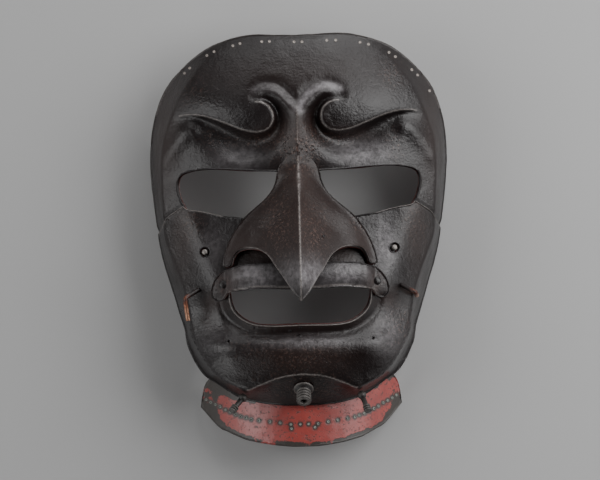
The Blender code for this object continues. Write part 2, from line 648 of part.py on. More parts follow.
# Drain for sweat, a ringed tube under the chin.
spout_radius = SPOUT_BORE + SPOUT_WALL
ring = (SPOUT_LENGTH - 3) / SPOUT_RINGS
spout_profile = [(SPOUT_BORE, 0.0), (spout_radius + 2, 0.0), (spout_radius + 1.6, 0.9),
                 (spout_radius, 1.8)]
for index in range(SPOUT_RINGS):
    start = 1.8 + index * ring
    spout_profile += [(spout_radius - 0.5, start + 0.25 * ring),
                      (spout_radius + 0.5, start + 0.62 * ring),
                      (spout_radius - 0.2, start + ring)]
spout_profile += [(spout_radius - 0.4, SPOUT_LENGTH), (SPOUT_BORE, SPOUT_LENGTH),
                  (SPOUT_BORE, 0.0)]
spot, way = seat(SPOUT_AT, 1, lift=GAP + SPOUT_BED)
turned("sweat_spout", spout_profile, spot, way, blackened)
drill(cheeks, "spout_hole", SPOUT_BORE, spot, way, 3 * WALL)

# Cord pegs under the jaw: a round boss, a shaft and a ringed end.
boss = [(PEG_BOSS * math.sin(math.pi * step / 8), PEG_BOSS * (1 - math.cos(math.pi * step / 8)))
        for step in range(7)]
peg_profile = boss + [(PEG_RADIUS, 2 * PEG_BOSS), (PEG_RADIUS, PEG_LENGTH - 3.6),
                      (PEG_RADIUS + 1.0, PEG_LENGTH - 2.8), (PEG_RADIUS + 0.2, PEG_LENGTH - 1.9),
                      (PEG_RADIUS + 0.7, PEG_LENGTH - 0.8), (PEG_RADIUS, PEG_LENGTH),
                      (0, PEG_LENGTH)]
for side, sign in SIDES.items():
    middle, _ = seat(PEG_AT, sign, lift=PEG_BOSS + 2 * GAP)
    way = (Vector(PEG_WAY[side]) * Vector((sign, 1, 1))).normalized()
    turned("cord_peg_" + side, peg_profile, middle - way * PEG_BOSS, way, blackened)


def hook_route(spot, arm, leg):
    """Straight arm, round bend and straight leg, as points in millimetres."""
    corner = spot + arm * HOOK_ARM
    start, end = corner - arm * HOOK_BEND, corner + leg * HOOK_BEND
    bend = []
    for step in range(1, 6):
        t = step / 6
        bend.append(start * (1 - t) ** 2 + corner * 2 * t * (1 - t) + end * t ** 2)
    return [spot, start] + bend + [end, corner + leg * HOOK_LEG]


# Cord hooks on the cheeks. The right-hand one has been turned back.
for side, sign in SIDES.items():
    spot, way = seat(HOOK_AT, sign, lift=GAP + HOOK_RADIUS)
    mirrored = Vector((sign, 1, 1))
    arm = (Vector(HOOK_ARM_WAY) * mirrored).normalized()
    leg = (Vector(HOOK_LEG_WAY[side]) * mirrored).normalized()
    wire = bpy.data.curves.new("cord_hook_" + side, "CURVE")
    wire.dimensions = "3D"
    wire.bevel_depth = HOOK_RADIUS * MM
    wire.bevel_resolution = 2
    wire.use_fill_caps = True
    run = wire.splines.new("POLY")
    route = hook_route(spot, arm, leg)
    run.points.add(len(route) - 1)
    for point, at in zip(run.points, route):
        point.co = (*(at * MM), 1)
    wire.materials.append(coppery)
    MASK.objects.link(bpy.data.objects.new("cord_hook_" + side, wire))

# Rivets that hold the lip band's ears.
rivet_profile = [(0, 0), (RIVET_RADIUS, 0), (RIVET_RADIUS, 0.2), (RIVET_RADIUS * 0.8, RIVET_RISE * 0.7),
                 (RIVET_RADIUS * 0.4, RIVET_RISE * 0.95), (0, RIVET_RISE)]
for side, sign in SIDES.items():
    spot, way = seat(RIVET_AT, sign, band_height, WALL + 3 * GAP + RIVET_BED)
    turned("band_rivet_" + side, rivet_profile, spot, way, blackened)

# Set the mask down: its lowest edge on the ground and its middle over the origin.
rest = bpy.data.objects.new("set_down", None)
MASK.objects.link(rest)
bpy.context.view_layer.update()
read_out = bpy.context.evaluated_depsgraph_get()
corners = []
for piece in MASK.objects:
    if piece.type in {"MESH", "CURVE"}:
        shape = piece.evaluated_get(read_out).to_mesh()
        corners += [piece.matrix_world @ vert.co for vert in shape.vertices]
        piece.evaluated_get(read_out).to_mesh_clear()
low = [min(c[axis] for c in corners) for axis in range(3)]
high = [max(c[axis] for c in corners) for axis in range(3)]
rest.location = (-(low[0] + high[0]) / 2, -(low[1] + high[1]) / 2, -low[2])
for group in (MASK, CUTTERS):
    for piece in group.objects:
        if piece is not rest:
            piece.parent = rest
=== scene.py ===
"""Looks of a full-face armour mask with a beaked nose: lacquered iron plates and their fittings.

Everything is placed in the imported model's frame. Plans and heights are in millimetres, drawn as
the armourer would: each plate's outline in plan, lifted onto one modelled face.
"""
import math

import bmesh
import bpy
import numpy as np
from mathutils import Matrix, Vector, noise
from mathutils.geometry import delaunay_2d_cdt
from mathutils.kdtree import KDTree


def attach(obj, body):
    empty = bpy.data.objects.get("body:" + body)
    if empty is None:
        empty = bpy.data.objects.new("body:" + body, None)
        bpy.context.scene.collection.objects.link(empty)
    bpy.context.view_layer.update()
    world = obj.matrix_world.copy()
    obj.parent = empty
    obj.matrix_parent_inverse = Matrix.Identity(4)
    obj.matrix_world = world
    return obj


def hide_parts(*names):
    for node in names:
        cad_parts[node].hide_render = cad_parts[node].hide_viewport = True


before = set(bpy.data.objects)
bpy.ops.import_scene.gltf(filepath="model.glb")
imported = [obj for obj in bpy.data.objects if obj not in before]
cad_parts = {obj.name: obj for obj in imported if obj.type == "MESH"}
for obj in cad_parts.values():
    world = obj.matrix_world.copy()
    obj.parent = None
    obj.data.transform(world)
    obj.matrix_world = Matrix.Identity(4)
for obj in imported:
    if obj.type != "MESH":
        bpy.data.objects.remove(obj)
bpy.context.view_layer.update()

# Brow plate: forehead, brows and temples, raised from one iron sheet over a stake, its arrises
# filed, then lacquered russet black outside and red inside. Its lobes pass under the cheeks.
MM = 0.001
SET_DOWN = np.array([0.0, -0.0408, 0.8763])     # the CAD's last move, onto the table
WALL = 2.0                  # the sheet with its lacquer
GAP = 0.3                   # air between plates that lap
LAP = 5.0                   # how far one plate passes under another
CELL = 0.95                 # facet size on the plates
STEPS = 10                  # parts of a curve between two of its drawn points
EVENINGS = 24               # how often the directions square to a plate are evened
CENTRE_V = 10.0             # the middle that the outline is read round
# Edges are rounded by EDGE, but by no more than EDGE_SHARE of the wall, and a rounded corner's
# middle lies in by CORNER of that. A hole's wall stands upright: wholly so up to the first of
# UPRIGHT from its edge, and no longer at the second. FLATTEST bounds its depth on a steep plate.
EDGE, EDGE_SHARE, CORNER = 0.5, 0.45, 0.29
UPRIGHT = (0.5, 3.5)
FLATTEST = 0.35
# The mask has been bent a little out of true about LEAN_V, from near its middle outwards.
LEAN, LEAN_V = 0.0125, 25.0
LEAN_FROM, LEAN_FULL = 5, 60
# Widths of the marks of two hammers, the depth of the first and the second's share of that.
HAMMER, SMALL_HAMMER = 6.5, 2.7
HAMMER_DEPTH, SMALL_SHARE = 0.15, 0.35
# Outline from the middle of the forehead round one side to the chin, and the line where the
# front of the face turns into its side wall, which lies at least TURN_IN inside it.
RIM = [(0, 122.3), (13, 122.7), (27, 123), (39, 121), (51, 117), (60, 111.6), (69, 103.8),
       (76, 96), (81, 88), (85.3, 76), (87.6, 64), (88.5, 52), (88.2, 40), (87, 27),
       (85.2, 12), (83.3, -2), (80.5, -14), (76.5, -27), (72.7, -40), (69.2, -51.5),
       (68.6, -56), (67.4, -62), (64, -70), (60.2, -76.5), (56, -81), (51, -84),
       (44, -88.8), (37, -93), (26.5, -96.2), (14, -98), (0, -98.6)]
TURN = [(0, 120.6), (27, 120.8), (44, 115.6), (56, 106), (65, 96), (70.8, 86), (75.5, 75.5),
        (79, 66), (81.3, 57), (82, 47), (82, 37), (81.6, 25), (81, 12), (79.8, 1), (75, -12),
        (70.5, -24), (67.6, -36), (66.2, -46), (65.4, -54), (63, -60.5), (59.5, -67),
        (55, -74), (49.5, -80), (42.8, -84.6), (33, -88.6), (26, -86), (16, -82.4),
        (8, -80.6), (0, -80)]
TURN_IN = 1.2
WALL_EDGE = 0.15
WALL_ANGLE, WALL_STEP = 0.012, 2.2      # spacing of the corners on the side wall
RIM_HEIGHT = [(0, 43), (0.22, 41), (0.42, 36), (0.6, 28), (0.75, 18), (0.9, 8), (1.05, 2),
              (1.2, 0), (2.39, 0), (2.467, 1.2), (2.523, 4.5), (2.584, 9.5), (2.642, 16),
              (2.724, 24), (2.797, 30.4), (2.9, 37.6), (3.013, 42.6), (math.pi, 44)]
WALL_FLARE = [(0, 1.0), (1.0, 0.9), (2.1, 0.8), (2.35, 1.8), (2.7, 1.8), (2.9, 1.1), (math.pi, 0.9)]
# Height of the face down the middle and along the turn, against the plan's Y.
MIDDLE = [(-112, 50), (-98, 57), (-88, 62), (-80, 65), (-74, 67.6), (-68, 70), (-62, 70),
          (-56, 67), (-50, 65.5), (-40, 66), (-30, 66), (-16, 64), (0, 60), (20, 57), (40, 57),
          (52, 59), (65, 62), (80, 63), (95, 59), (110, 52), (124, 43)]
SIDE = [(-112, 24), (-82, 28), (-62, 28), (-40, 29), (-20, 31), (0, 33), (20, 35), (40, 36),
        (60, 34), (80, 31), (95, 26), (110, 18), (124, 8)]
SIDE_AT = 82.0              # how far out SIDE holds, and the power of the curve down to it
CROWN = 2.3
# Lower edge of the brow and its curl, the hollow under it, and the crest that parts above it.
BROW = [(74.5, 74.8), (71, 75.8), (66, 76.5), (58, 75.9), (50, 73.5), (42, 70.3), (36, 67.8),
        (31, 66.1), (26, 65.2), (21.5, 65.5), (18, 66.8), (15.6, 69.2), (14.3, 72.5),
        (14.5, 76), (15.9, 79), (18, 81.2), (21, 82.6), (25, 83.1), (29.5, 82.4)]
BROW_DROP = [(0, 0.2), (0.08, 1.8), (0.22, 5.4), (0.42, 8.5), (0.55, 9.5), (0.68, 8.5),
             (0.8, 6.5), (0.9, 3.6), (1, 0)]
BROW_SLOPE = [(0, 1.6), (0.2, 3.2), (0.4, 5.5), (0.52, 6.5), (0.64, 4.6), (0.76, 3.0), (1, 2.4)]
BROW_RETURN = [(0, 9), (0.35, 11), (0.55, 10), (0.7, 6), (1, 4)]
CREST = [(0, 44), (0, 58), (0, 70), (0, 81.6), (2.4, 84.8), (5.4, 88), (9, 91.2), (12.2, 93),
         (16.3, 94), (20.4, 93.7), (24.4, 92.3), (29, 89.8)]
CREST_FADE = [(0, 0.9), (0.1, 1), (0.8, 1), (0.92, 0.6), (1, 0)]
ARM_FROM, ARM_FULL = 0.40, 0.56         # share of the crest where it turns into a scroll
BROW_SPINE = [(26, 75), (36, 77), (48, 80.5), (62, 83), (72, 82)]
ORBIT = [(64, 67), (69, 64), (75, 57), (80, 49)]
CHEEK = [(67, 14), (62.5, 3), (59, -7), (54, -19), (50, -29)]
MOUTH = [(42.6, -24), (42.5, -31.5), (42.2, -36), (40.8, -40.4), (37.5, -44.6), (32.4, -48.2),
         (26.5, -50.2), (17.5, -51), (8, -50.9), (0, -50.8)]
# Height of each soft ridge and its half width; then of each swelling, its place and half sizes.
BROW_SWELL = (0.8, 14.0)
BRIDGE = (3.4, 7.0)
ROLL = (2.8, 3.6)
ROLL_AT = 6.2
ROLL_FULLNESS = 1.35
GROOVE = (1.5, 3.0)
ORBIT_SWELL = (2.0, 5.5)
CHEEK_SWELL = (3.6, 11.0)
LIP = (2.0, 2.2)
LIP_GROOVE = (1.8, 2.4)
LIP_GROOVE_AT = 5.0
LIP_FROM, LIP_FULL = -30, -38
EYELID = (1.4, 38, 44, 26, 7)
JOWL = (3.4, 46, -62, 13, 12)
BRIDGE_SWELL = (2.6, 0, 49, 5.5, 9)
CHEEK_HOLLOW = (-2.2, 57, -38, 9, 8)
EYE_TOP = [(7.5, 41.2), (12.6, 41.6), (26.9, 42.2), (36, 42.9), (45.8, 43.5), (55, 43.7),
           (63.6, 42.8), (69.8, 40.8), (72.2, 37.5), (72.6, 32.8), (71.3, 26.6), (69.3, 21.6)]
BRIDGE_FOOT = 46.0
CHEEK_EDGE = [(69.3, 21.6), (74.3, 18.4), (79, 15), (81.7, 10.5)]
CHEEK_EDGE_END = 5.6
LOBE = [(78, -6.5), (71, -10), (64, -14.5), (57, -15.5), (51.5, -12), (50.2, -5), (53.5, 3),
        (59, 9), (64.5, 13), (68, 16.5)]
LOBE_END = -4.2
LOBE_TOP = 30.0
LOBE_DEPTH = 1.25 * (WALL + GAP)
THIN = 0.8                  # plates are hammered thin where another laps them in sight
STEP_DOWN = THIN + 0.2
STEP_WIDE = 3.0
THIN_WIDE = 7.0
# Pairs of holes along the forehead's edge, for the lining's lacing.
LACING_HOLE = 0.6
BROW_HOLES = [(-0.7, 118.4), (4, 118.3), (-15.5, 119), (-20.2, 119), (-33.6, 118.2),
              (-38, 117), (-49.6, 113.8), (-54, 111.6), (-64.4, 104.4), (-67.6, 101.4),
              (18.7, 118.8), (23.9, 118.8), (38, 117.2), (42.9, 115.9), (54.9, 110.8),
              (58.6, 108.2), (68.4, 100.2), (71.9, 97), (79, 87.4)]
# The lacquer, what age and wear have made of it, and highlights painted on it: a grey mottle where the
# light catches, a light line along the arrises and a near-white glint round small holes.
LACQUER_DARK, LACQUER_LIGHT = "#100c0c", "#1b1415"
RUSSET, GREYED_HIGHLIGHT, RUBBED_AND_HIGHLIT = "#2b1c18", "#7a7678", "#a39c98"
PIT, RUST_SPECK, HOLE_GLINT_TONE = "#140c0a", "#604a42", "#d2c8c0"
INSIDE_RED = "#4a1712"
GLOSS = 0.33
ARRIS_HALF = 0.55
GLINT_RIM = (0.05, 0.4)      # painted glint round a small hole: full up to, and gone from


def curve_through(points):
    """Smooth open curve through a few points."""
    p = np.array(points, float)
    q = np.vstack([2 * p[0] - p[1], p, 2 * p[-1] - p[-2]])
    t = np.linspace(0, 1, STEPS, endpoint=False)[:, None]
    runs = []
    for a, b, c, d in zip(q[:-3], q[1:-2], q[2:-1], q[3:]):
        runs.append(0.5 * (2 * b + (c - a) * t + (2 * a - 5 * b + 4 * c - d) * t ** 2
                           + (3 * b - a - 3 * c + d) * t ** 3))
    return np.vstack(runs + [p[-1:]])


def spaced(line, step):
    """The same line with its points about one step apart."""
    run = np.concatenate([[0], np.cumsum(np.hypot(*np.diff(line, axis=0).T))])
    count = max(2, int(round(run[-1] / step)) + 1)
    at = np.linspace(0, run[-1], count)
    return np.stack([np.interp(at, run, line[:, 0]), np.interp(at, run, line[:, 1])], 1)


def along(u, v, line):
    """Distance to a line, the share of its length there, and its side (+1 on the left)."""
    points = np.stack([u, v], 1)
    start, run = line[:-1], np.diff(line, axis=0)
    length = np.hypot(*run.T)
    begun = np.concatenate([[0], np.cumsum(length)])
    away = np.full(len(points), np.inf)
    share = np.zeros(len(points))
    side = np.ones(len(points))
    for index in range(len(run)):
        offset = points - start[index]
        t = np.clip(offset @ run[index] / length[index] ** 2, 0, 1)
        rest = offset - t[:, None] * run[index]
        reach = np.hypot(*rest.T)
        nearer = reach < away
        away[nearer] = reach[nearer]
        share[nearer] = (begun[index] + t * length[index])[nearer]
        turn = run[index][0] * offset[:, 1] - run[index][1] * offset[:, 0]
        side[nearer] = np.where(turn < 0, -1.0, 1.0)[nearer]
    return away, share / begun[-1], side


def read(pairs, value):
    """Smooth reading of a short table."""
    line = curve_through(pairs)
    return np.interp(value, line[:, 0], line[:, 1])


def beside(line, apart, low=0.0, high=1.0):
    """A line run along another on its right, over part of its length."""
    run = np.concatenate([[0], np.cumsum(np.hypot(*np.diff(line, axis=0).T))])
    share = run / run[-1]
    reach = read(apart, share) if isinstance(apart, list) else np.full(len(line), apart)
    way = np.gradient(line, axis=0)
    way = way / np.linalg.norm(way, axis=1, keepdims=True)
    moved = line + np.stack([way[:, 1], -way[:, 0]], 1) * reach[:, None]
    return moved[(share >= low) & (share <= high)]


def ease(low, high, value):
    """Share of the way from one value to another, eased at both ends."""
    t = np.clip((value - low) / (high - low), 0, 1)
    return t * t * (3 - 2 * t)


def ridge(away, height, half):
    """Soft ridge along a line, from the distance to it, a height and a half width."""
    return height * np.exp(-(away / half) ** 2)


def swelling(u, v, height, at_u, at_v, wide, tall):
    """Soft round swelling, from its height, its place and its half sizes."""
    return height * np.exp(-((u - at_u) / wide) ** 2 - ((v - at_v) / tall) ** 2)


def as_polar(points):
    """Angle and distance of a drawn line from the middle of the plan."""
    line = curve_through(points)
    return (np.arctan2(line[:, 0], line[:, 1] - CENTRE_V),
            np.hypot(line[:, 0], line[:, 1] - CENTRE_V))


RIM_POLAR, TURN_POLAR = as_polar(RIM), as_polar(TURN)
RIM_LINE, TURN_LINE = curve_through(RIM), curve_through(TURN)
BROW_LINE, CREST_LINE = curve_through(BROW), curve_through(CREST)
MOUTH_LINE, CHEEK_LINE = curve_through(MOUTH), curve_through(CHEEK)


def rim_at(v):
    """Point of the face's outline at one height of the plan, on its long side."""
    flank = RIM_LINE[RIM_LINE[:, 1] < 90][::-1]
    return (float(np.interp(v, flank[:, 1], flank[:, 0])), v)


def wall_lines(u, v):
    """Angle round the face, distance from its middle, and how far out the turn and rim are."""
    u = np.abs(u)
    angle, reach = np.arctan2(u, v - CENTRE_V), np.hypot(u, v - CENTRE_V)
    rim = np.interp(angle, *RIM_POLAR)
    return angle, reach, np.minimum(np.interp(angle, *TURN_POLAR), rim - TURN_IN), rim


def front(u, v):
    """The face's main swell, before its features."""
    middle, side = read(MIDDLE, v), read(SIDE, v)
    return middle - (middle - side) * (u / SIDE_AT) ** CROWN


def brow_relief(u, v):
    """Overhanging brow, the hollow under it, the crest and the ridge to the nose."""
    spine, _, _ = along(u, v, curve_through(BROW_SPINE))
    height = ridge(spine, *BROW_SWELL)
    away, share, side = along(u, v, BROW_LINE)
    drop, slope = read(BROW_DROP, share), read(BROW_SLOPE, share)
    falling = np.sin(0.5 * math.pi * np.clip(away / slope, 0, 1))
    rising = ridge(np.maximum(away - slope, 0), 1, read(BROW_RETURN, share))
    height -= np.where(side > 0, drop * falling * rising, 0)
    away, share, side = along(u, v, CREST_LINE)
    bridge = BRIDGE[0] * np.exp(-away / BRIDGE[1])
    climb = (ROLL[0] + GROOVE[0]) * (1 - (1 - np.minimum(away / ROLL_AT, 1)) ** ROLL_FULLNESS)
    roll = np.where(away < ROLL_AT, climb - GROOVE[0], ridge(away - ROLL_AT, *ROLL))
    curled = np.where(side < 0, roll, -ridge(away, *GROOVE))
    arm = ease(ARM_FROM, ARM_FULL, share)
    return height + read(CREST_FADE, share) * (bridge * (1 - arm) + curled * arm)


def cheek_relief(u, v):
    """Lid over the eye, bone beside it, full cheek, jowl, bridge of the nose and lip."""
    orbit, _, _ = along(u, v, curve_through(ORBIT))
    cheek, _, _ = along(u, v, CHEEK_LINE)
    height = ridge(orbit, *ORBIT_SWELL) + ridge(cheek, *CHEEK_SWELL)
    height += swelling(u, v, *EYELID) + swelling(u, v, *JOWL) + swelling(u, v, *CHEEK_HOLLOW)
    height += swelling(u, v, *BRIDGE_SWELL)
    away, _, _ = along(u, v, MOUTH_LINE)
    lip = ridge(away, *LIP) - ridge(away - LIP_GROOVE_AT, *LIP_GROOVE)
    return height + lip * ease(LIP_FROM, LIP_FULL, v)


def face_height(u, v):
    """Height of the modelled face over its plan, side walls included."""
    u = np.abs(u)
    angle, reach, turn, rim = wall_lines(u, v)
    pull = np.minimum(1, turn / np.maximum(reach, 1e-6))
    at_u, at_v = u * pull, CENTRE_V + (v - CENTRE_V) * pull
    height = front(at_u, at_v) + brow_relief(at_u, at_v) + cheek_relief(at_u, at_v)
    left = np.clip((rim - reach - WALL_EDGE) / (rim - turn - 2 * WALL_EDGE), 0, 1)
    foot = np.maximum(read(RIM_HEIGHT, angle), 0)
    return np.where(reach > turn, foot + (height - foot) * left ** read(WALL_FLARE, angle), height)


def leaned(spots):
    """Places on the mask once it is bent a little out of true."""
    moved = np.array(spots, float)
    share = ease(LEAN_FROM, LEAN_FULL, np.abs(moved[..., 0]))
    moved[..., 0] += LEAN * (moved[..., 1] - LEAN_V) * share
    return moved


def inside(points, loop):
    """Whether each point lies inside a closed loop."""
    u, v = points.T
    hit = np.zeros(len(u), bool)
    for (au, av), (bu, bv) in zip(loop, np.roll(loop, -1, axis=0)):
        crosses = (av > v) != (bv > v)
        reach = au + (v - av) * (bu - au) / np.where(bv == av, 1e-12, bv - av)
        hit ^= crosses & (u < reach)
    return hit


def nearest(points, marks):
    """Distance from each point to the nearest mark."""
    tree = KDTree(len(marks))
    for index, (u, v) in enumerate(marks.tolist()):
        tree.insert((u, v, 0), index)
    tree.balance()
    return np.array([tree.find((u, v, 0))[2] for u, v in points.tolist()])


def clear_of(points, ring, marks, apart):
    """Those of some points that lie on the plate, clear of the marks that it has."""
    points = points[inside(points, ring)]
    return points[nearest(points, marks) > apart]


def circle(u, v, radius, count):
    """Points round a place, evenly spaced."""
    turn = np.linspace(0, 2 * math.pi, count, endpoint=False)
    return np.array([u, v]) + np.stack([np.cos(turn), np.sin(turn)], 1) * radius


def wall_rows():
    """Points down the side wall, in rows from the turn to the rim, evenly spaced on its slope."""
    rows = []
    for angle in np.arange(-math.pi, math.pi, WALL_ANGLE):
        way = np.array([math.sin(angle), math.cos(angle)])
        rim = np.interp(abs(angle), *RIM_POLAR)
        turn = min(np.interp(abs(angle), *TURN_POLAR), rim - TURN_IN)
        ends = np.array([[0, CENTRE_V]]) + np.array([[turn], [rim]]) * way
        top, foot = face_height(*ends.T)
        count = int(math.hypot(top - foot, rim - turn) / WALL_STEP)
        share = (np.arange(count) + 0.5) / max(count, 1)
        rows.append(ends[0] + share[:, None] * (ends[1] - ends[0]))
    return np.vstack(rows)


def plan_sheet(half, folds=(), holes=(), walled=False):
    """Triangulated plan of a whole plate, its edges, folds and holes kept."""
    flipped = np.array([-1, 1])
    right = np.vstack([spaced(edge, CELL)[:-1] for edge in half] + [half[-1][-1:]])
    ring = np.vstack([right, (right * flipped)[::-1][1:-1]])
    hole_rings = [circle(u, v, radius, max(12, int(7 * radius))) for u, v, radius in holes]
    points, links = [], []
    for loop in [ring] + hole_rings:
        first = len(points)
        points += loop.tolist()
        links += [(first + i, first + (i + 1) % len(loop)) for i in range(len(loop))]
    marks = np.array(points)
    for u, v, radius in holes:
        around = np.vstack([circle(u, v, radius + more, max(14, int(8 * radius)))
                            for more in (0.45, 0.95)])
        around = clear_of(around, ring, marks, 0.3)
        marks = np.vstack([marks, around])
        points += around.tolist()
    for fold in folds:
        fold = spaced(np.array(fold), CELL)
        sides = [fold] if np.abs(fold[:, 0]).max() < 0.01 else [fold, fold * flipped]
        for line in sides:
            line = clear_of(line, ring, marks, 0.45 * CELL)
            first = len(points)
            points += line.tolist()
            links += [(first + i, first + i + 1) for i in range(len(line) - 1)
                      if math.dist(line[i], line[i + 1]) < 1.9 * CELL]
            marks = np.vstack([marks, line])
    if walled:
        points += clear_of(wall_rows(), ring, marks, 0.25).tolist()
    # The rest is an even grid of triangles, clear of all that is drawn.
    low, high = ring.min(0), ring.max(0)
    lines = np.arange(low[1], high[1], CELL * math.sqrt(3) / 2)
    grid = np.array([(u + (row % 2) * CELL / 2, v) for row, v in enumerate(lines)
                     for u in np.arange(low[0], high[0] + CELL, CELL)])
    if walled:
        _, reach, turn, _ = wall_lines(*grid.T)
        grid = grid[reach < turn - 0.3 * CELL]
    for hole in hole_rings:
        grid = grid[~inside(grid, hole)]
    points += clear_of(grid, ring, marks, 0.6 * CELL).tolist()
    verts, _, faces, _, _, _ = delaunay_2d_cdt([Vector(p) for p in points], links, [], 0, 1e-4)
    flat = np.array([tuple(p) for p in verts])
    faces = np.array([tuple(f) for f in faces])
    middle = flat[faces].mean(1)
    kept = inside(middle, ring)
    for hole in hole_rings:
        kept &= ~inside(middle, hole)
    faces = faces[kept]
    used = np.unique(faces)
    place = np.full(len(flat), -1)
    place[used] = np.arange(len(used))
    return flat[used], place[faces]


def averaged(values, links, times):
    """Values at the corners, each evened with its neighbours' a number of times."""
    size = len(values)
    ends = np.concatenate([links[:, 0], links[:, 1]])
    others = np.concatenate([links[:, 1], links[:, 0]])
    count = np.bincount(ends, minlength=size)[:, None]
    for _ in range(times):
        total = np.stack([np.bincount(ends, values[others, axis], size) for axis in range(3)], 1)
        values = 0.5 * values + 0.5 * total / count
    return values


def corner_normals(spots, faces):
    """Direction square to the sheet at each corner."""
    first, second, third = spots[faces.T]
    square = np.cross(second - first, third - first)
    total = np.stack([np.bincount(faces.ravel(), np.repeat(square[:, axis], 3), len(spots))
                      for axis in range(3)], 1)
    return total / np.linalg.norm(total, axis=1, keepdims=True)


def edge_loops(runs):
    """The plate's outline and hole edges, each as corners in order."""
    known = {(a, b) for a, b in runs.tolist()}
    follows = {a: b for a, b in known if (b, a) not in known}
    loops = []
    while follows:
        start, at = follows.popitem()
        loop = [start]
        while at != start:
            loop.append(at)
            at = follows.pop(at)
        loops.append(np.array(loop))
    return loops


def placed(name, data):
    """An object at the origin of the scene that shows some data."""
    made = bpy.data.objects.new(name, data)
    bpy.context.scene.collection.objects.link(made)
    return made


def hammer_marks(spots):
    """Dents of the raising hammer and of the small one that planished the sheet."""
    return np.array([noise.noise(Vector(spot) / HAMMER)
                     + SMALL_SHARE * noise.noise(Vector(spot) / SMALL_HAMMER)
                     for spot in spots.tolist()])


def hammered(name, plan, surface, lift=0.0, wall=WALL, holes=(), marks={}):
    """A plate of hammered sheet: lifted onto a surface, given its wall and rounded edges.

    Every corner keeps whether it is on the inside, and the plate's own marks, for its finish.
    """
    flat, faces = plan
    u, v = flat.T
    spots = np.stack([u, v, surface(u, v)], 1)
    runs = np.vstack([faces[:, [0, 1]], faces[:, [1, 2]], faces[:, [2, 0]]])
    links = np.unique(np.sort(runs, 1), axis=0)
    square = averaged(corner_normals(spots, faces), links, EVENINGS)
    square /= np.linalg.norm(square, axis=1, keepdims=True)
    raised = lift(u, v) if callable(lift) else np.full(len(u), lift)
    sheet = wall(u, v) if callable(wall) else np.full(len(u), wall)
    loops = edge_loops(runs)
    rim = np.concatenate(loops)
    evened = averaged(spots, links, 2)
    evened[rim] = spots[rim]
    spots = evened + square * raised[:, None]
    spots += square * (HAMMER_DEPTH * hammer_marks(spots))[:, None]
    # The wall goes down square to its outside, but straight down round a hole.
    upright = np.zeros(len(u))
    for at_u, at_v, radius in holes:
        away = np.hypot(u - at_u, v - at_v)
        upright = np.maximum(upright, 1 - ease(radius + UPRIGHT[0], radius + UPRIGHT[1], away))
    drop = square * sheet[:, None]
    straight = np.array([0, 0, 1]) * (sheet[:, None] / np.maximum(square[:, 2:], FLATTEST))
    drop = drop + (straight - drop) * upright[:, None]
    inner = spots - drop
    # Rounded edges: four rows of corners take each edge over from the outside to the inside.
    size = len(spots)
    face_list, rings, total = [faces, faces[:, ::-1] + size], [], 2 * size
    for loop in loops:
        bend = np.minimum(EDGE, EDGE_SHARE * sheet[loop])[:, None]
        way = spots[np.roll(loop, -1)] - spots[np.roll(loop, 1)]
        way /= np.linalg.norm(way, axis=1, keepdims=True)
        up = -drop[loop] / np.linalg.norm(drop[loop], axis=1, keepdims=True)
        out = np.cross(way, up)
        out /= np.linalg.norm(out, axis=1, keepdims=True)
        top, foot = spots[loop].copy(), inner[loop].copy()
        spots[loop] = top - bend * out
        inner[loop] = foot - bend * out
        steps = [top - bend * CORNER * (out + up), top - bend * up,
                 foot + bend * up, foot - bend * CORNER * (out - up)]
        before = loop
        for step in steps + [None]:
            after = loop + size if step is None else total + np.arange(len(loop))
            face_list.append(np.stack([before, after, np.roll(after, -1), np.roll(before, -1)], 1))
            if step is not None:
                rings.append(step)
                total += len(loop)
            before = after
    places = np.vstack([spots, inner] + rings)
    mesh = bpy.data.meshes.new(name)
    mesh.from_pydata(((leaned(places) + SET_DOWN) * MM).tolist(), [],
                     [f for group in face_list for f in group.tolist()])
    mesh.shade_smooth()
    values = {"inside": np.zeros(len(places))}
    values["inside"][size:2 * size] = 1
    values.update({mark: rule(places[:, 0], places[:, 1]) for mark, rule in marks.items()})
    for mark, value in values.items():
        held = mesh.attributes.new(mark, "FLOAT", "POINT")
        held.data.foreach_set("value", value.astype(np.float32))
    return placed(name, mesh)


def colour(code):
    """Linear colour of an sRGB hex value."""
    parts = [int(code[i:i + 2], 16) / 255 for i in (1, 3, 5)]
    return [p / 12.92 if p <= 0.04045 else ((p + 0.055) / 1.055) ** 2.4 for p in parts] + [1.0]


def add(tree, kind, inputs={}, ramp=None, **settings):
    """A node with its settings; an input is a value or another node's output."""
    made = tree.nodes.new(kind)
    for key, value in settings.items():
        setattr(made, key, value)
    for key, value in inputs.items():
        if isinstance(value, bpy.types.NodeSocket):
            tree.links.new(value, made.inputs[key])
        else:
            made.inputs[key].default_value = value
    if ramp:
        stops = made.color_ramp.elements
        while len(stops) < len(ramp):
            stops.new(0.5)
        for stop, (at, shade) in zip(stops, ramp):
            stop.position = at
            stop.color = colour(shade) if isinstance(shade, str) else (shade, shade, shade, 1)
    return made


def blank_material(name, marks=()):
    """A material with an empty tree, the piece's own coordinates in it, and the piece's marks."""
    made = bpy.data.materials.new(name)
    made.use_nodes = True
    tree = made.node_tree
    tree.nodes.clear()
    at = add(tree, "ShaderNodeTexCoord").outputs["Object"]
    mark = {key: add(tree, "ShaderNodeAttribute", attribute_name=key).outputs["Fac"] for key in marks}
    return made, tree, at, mark


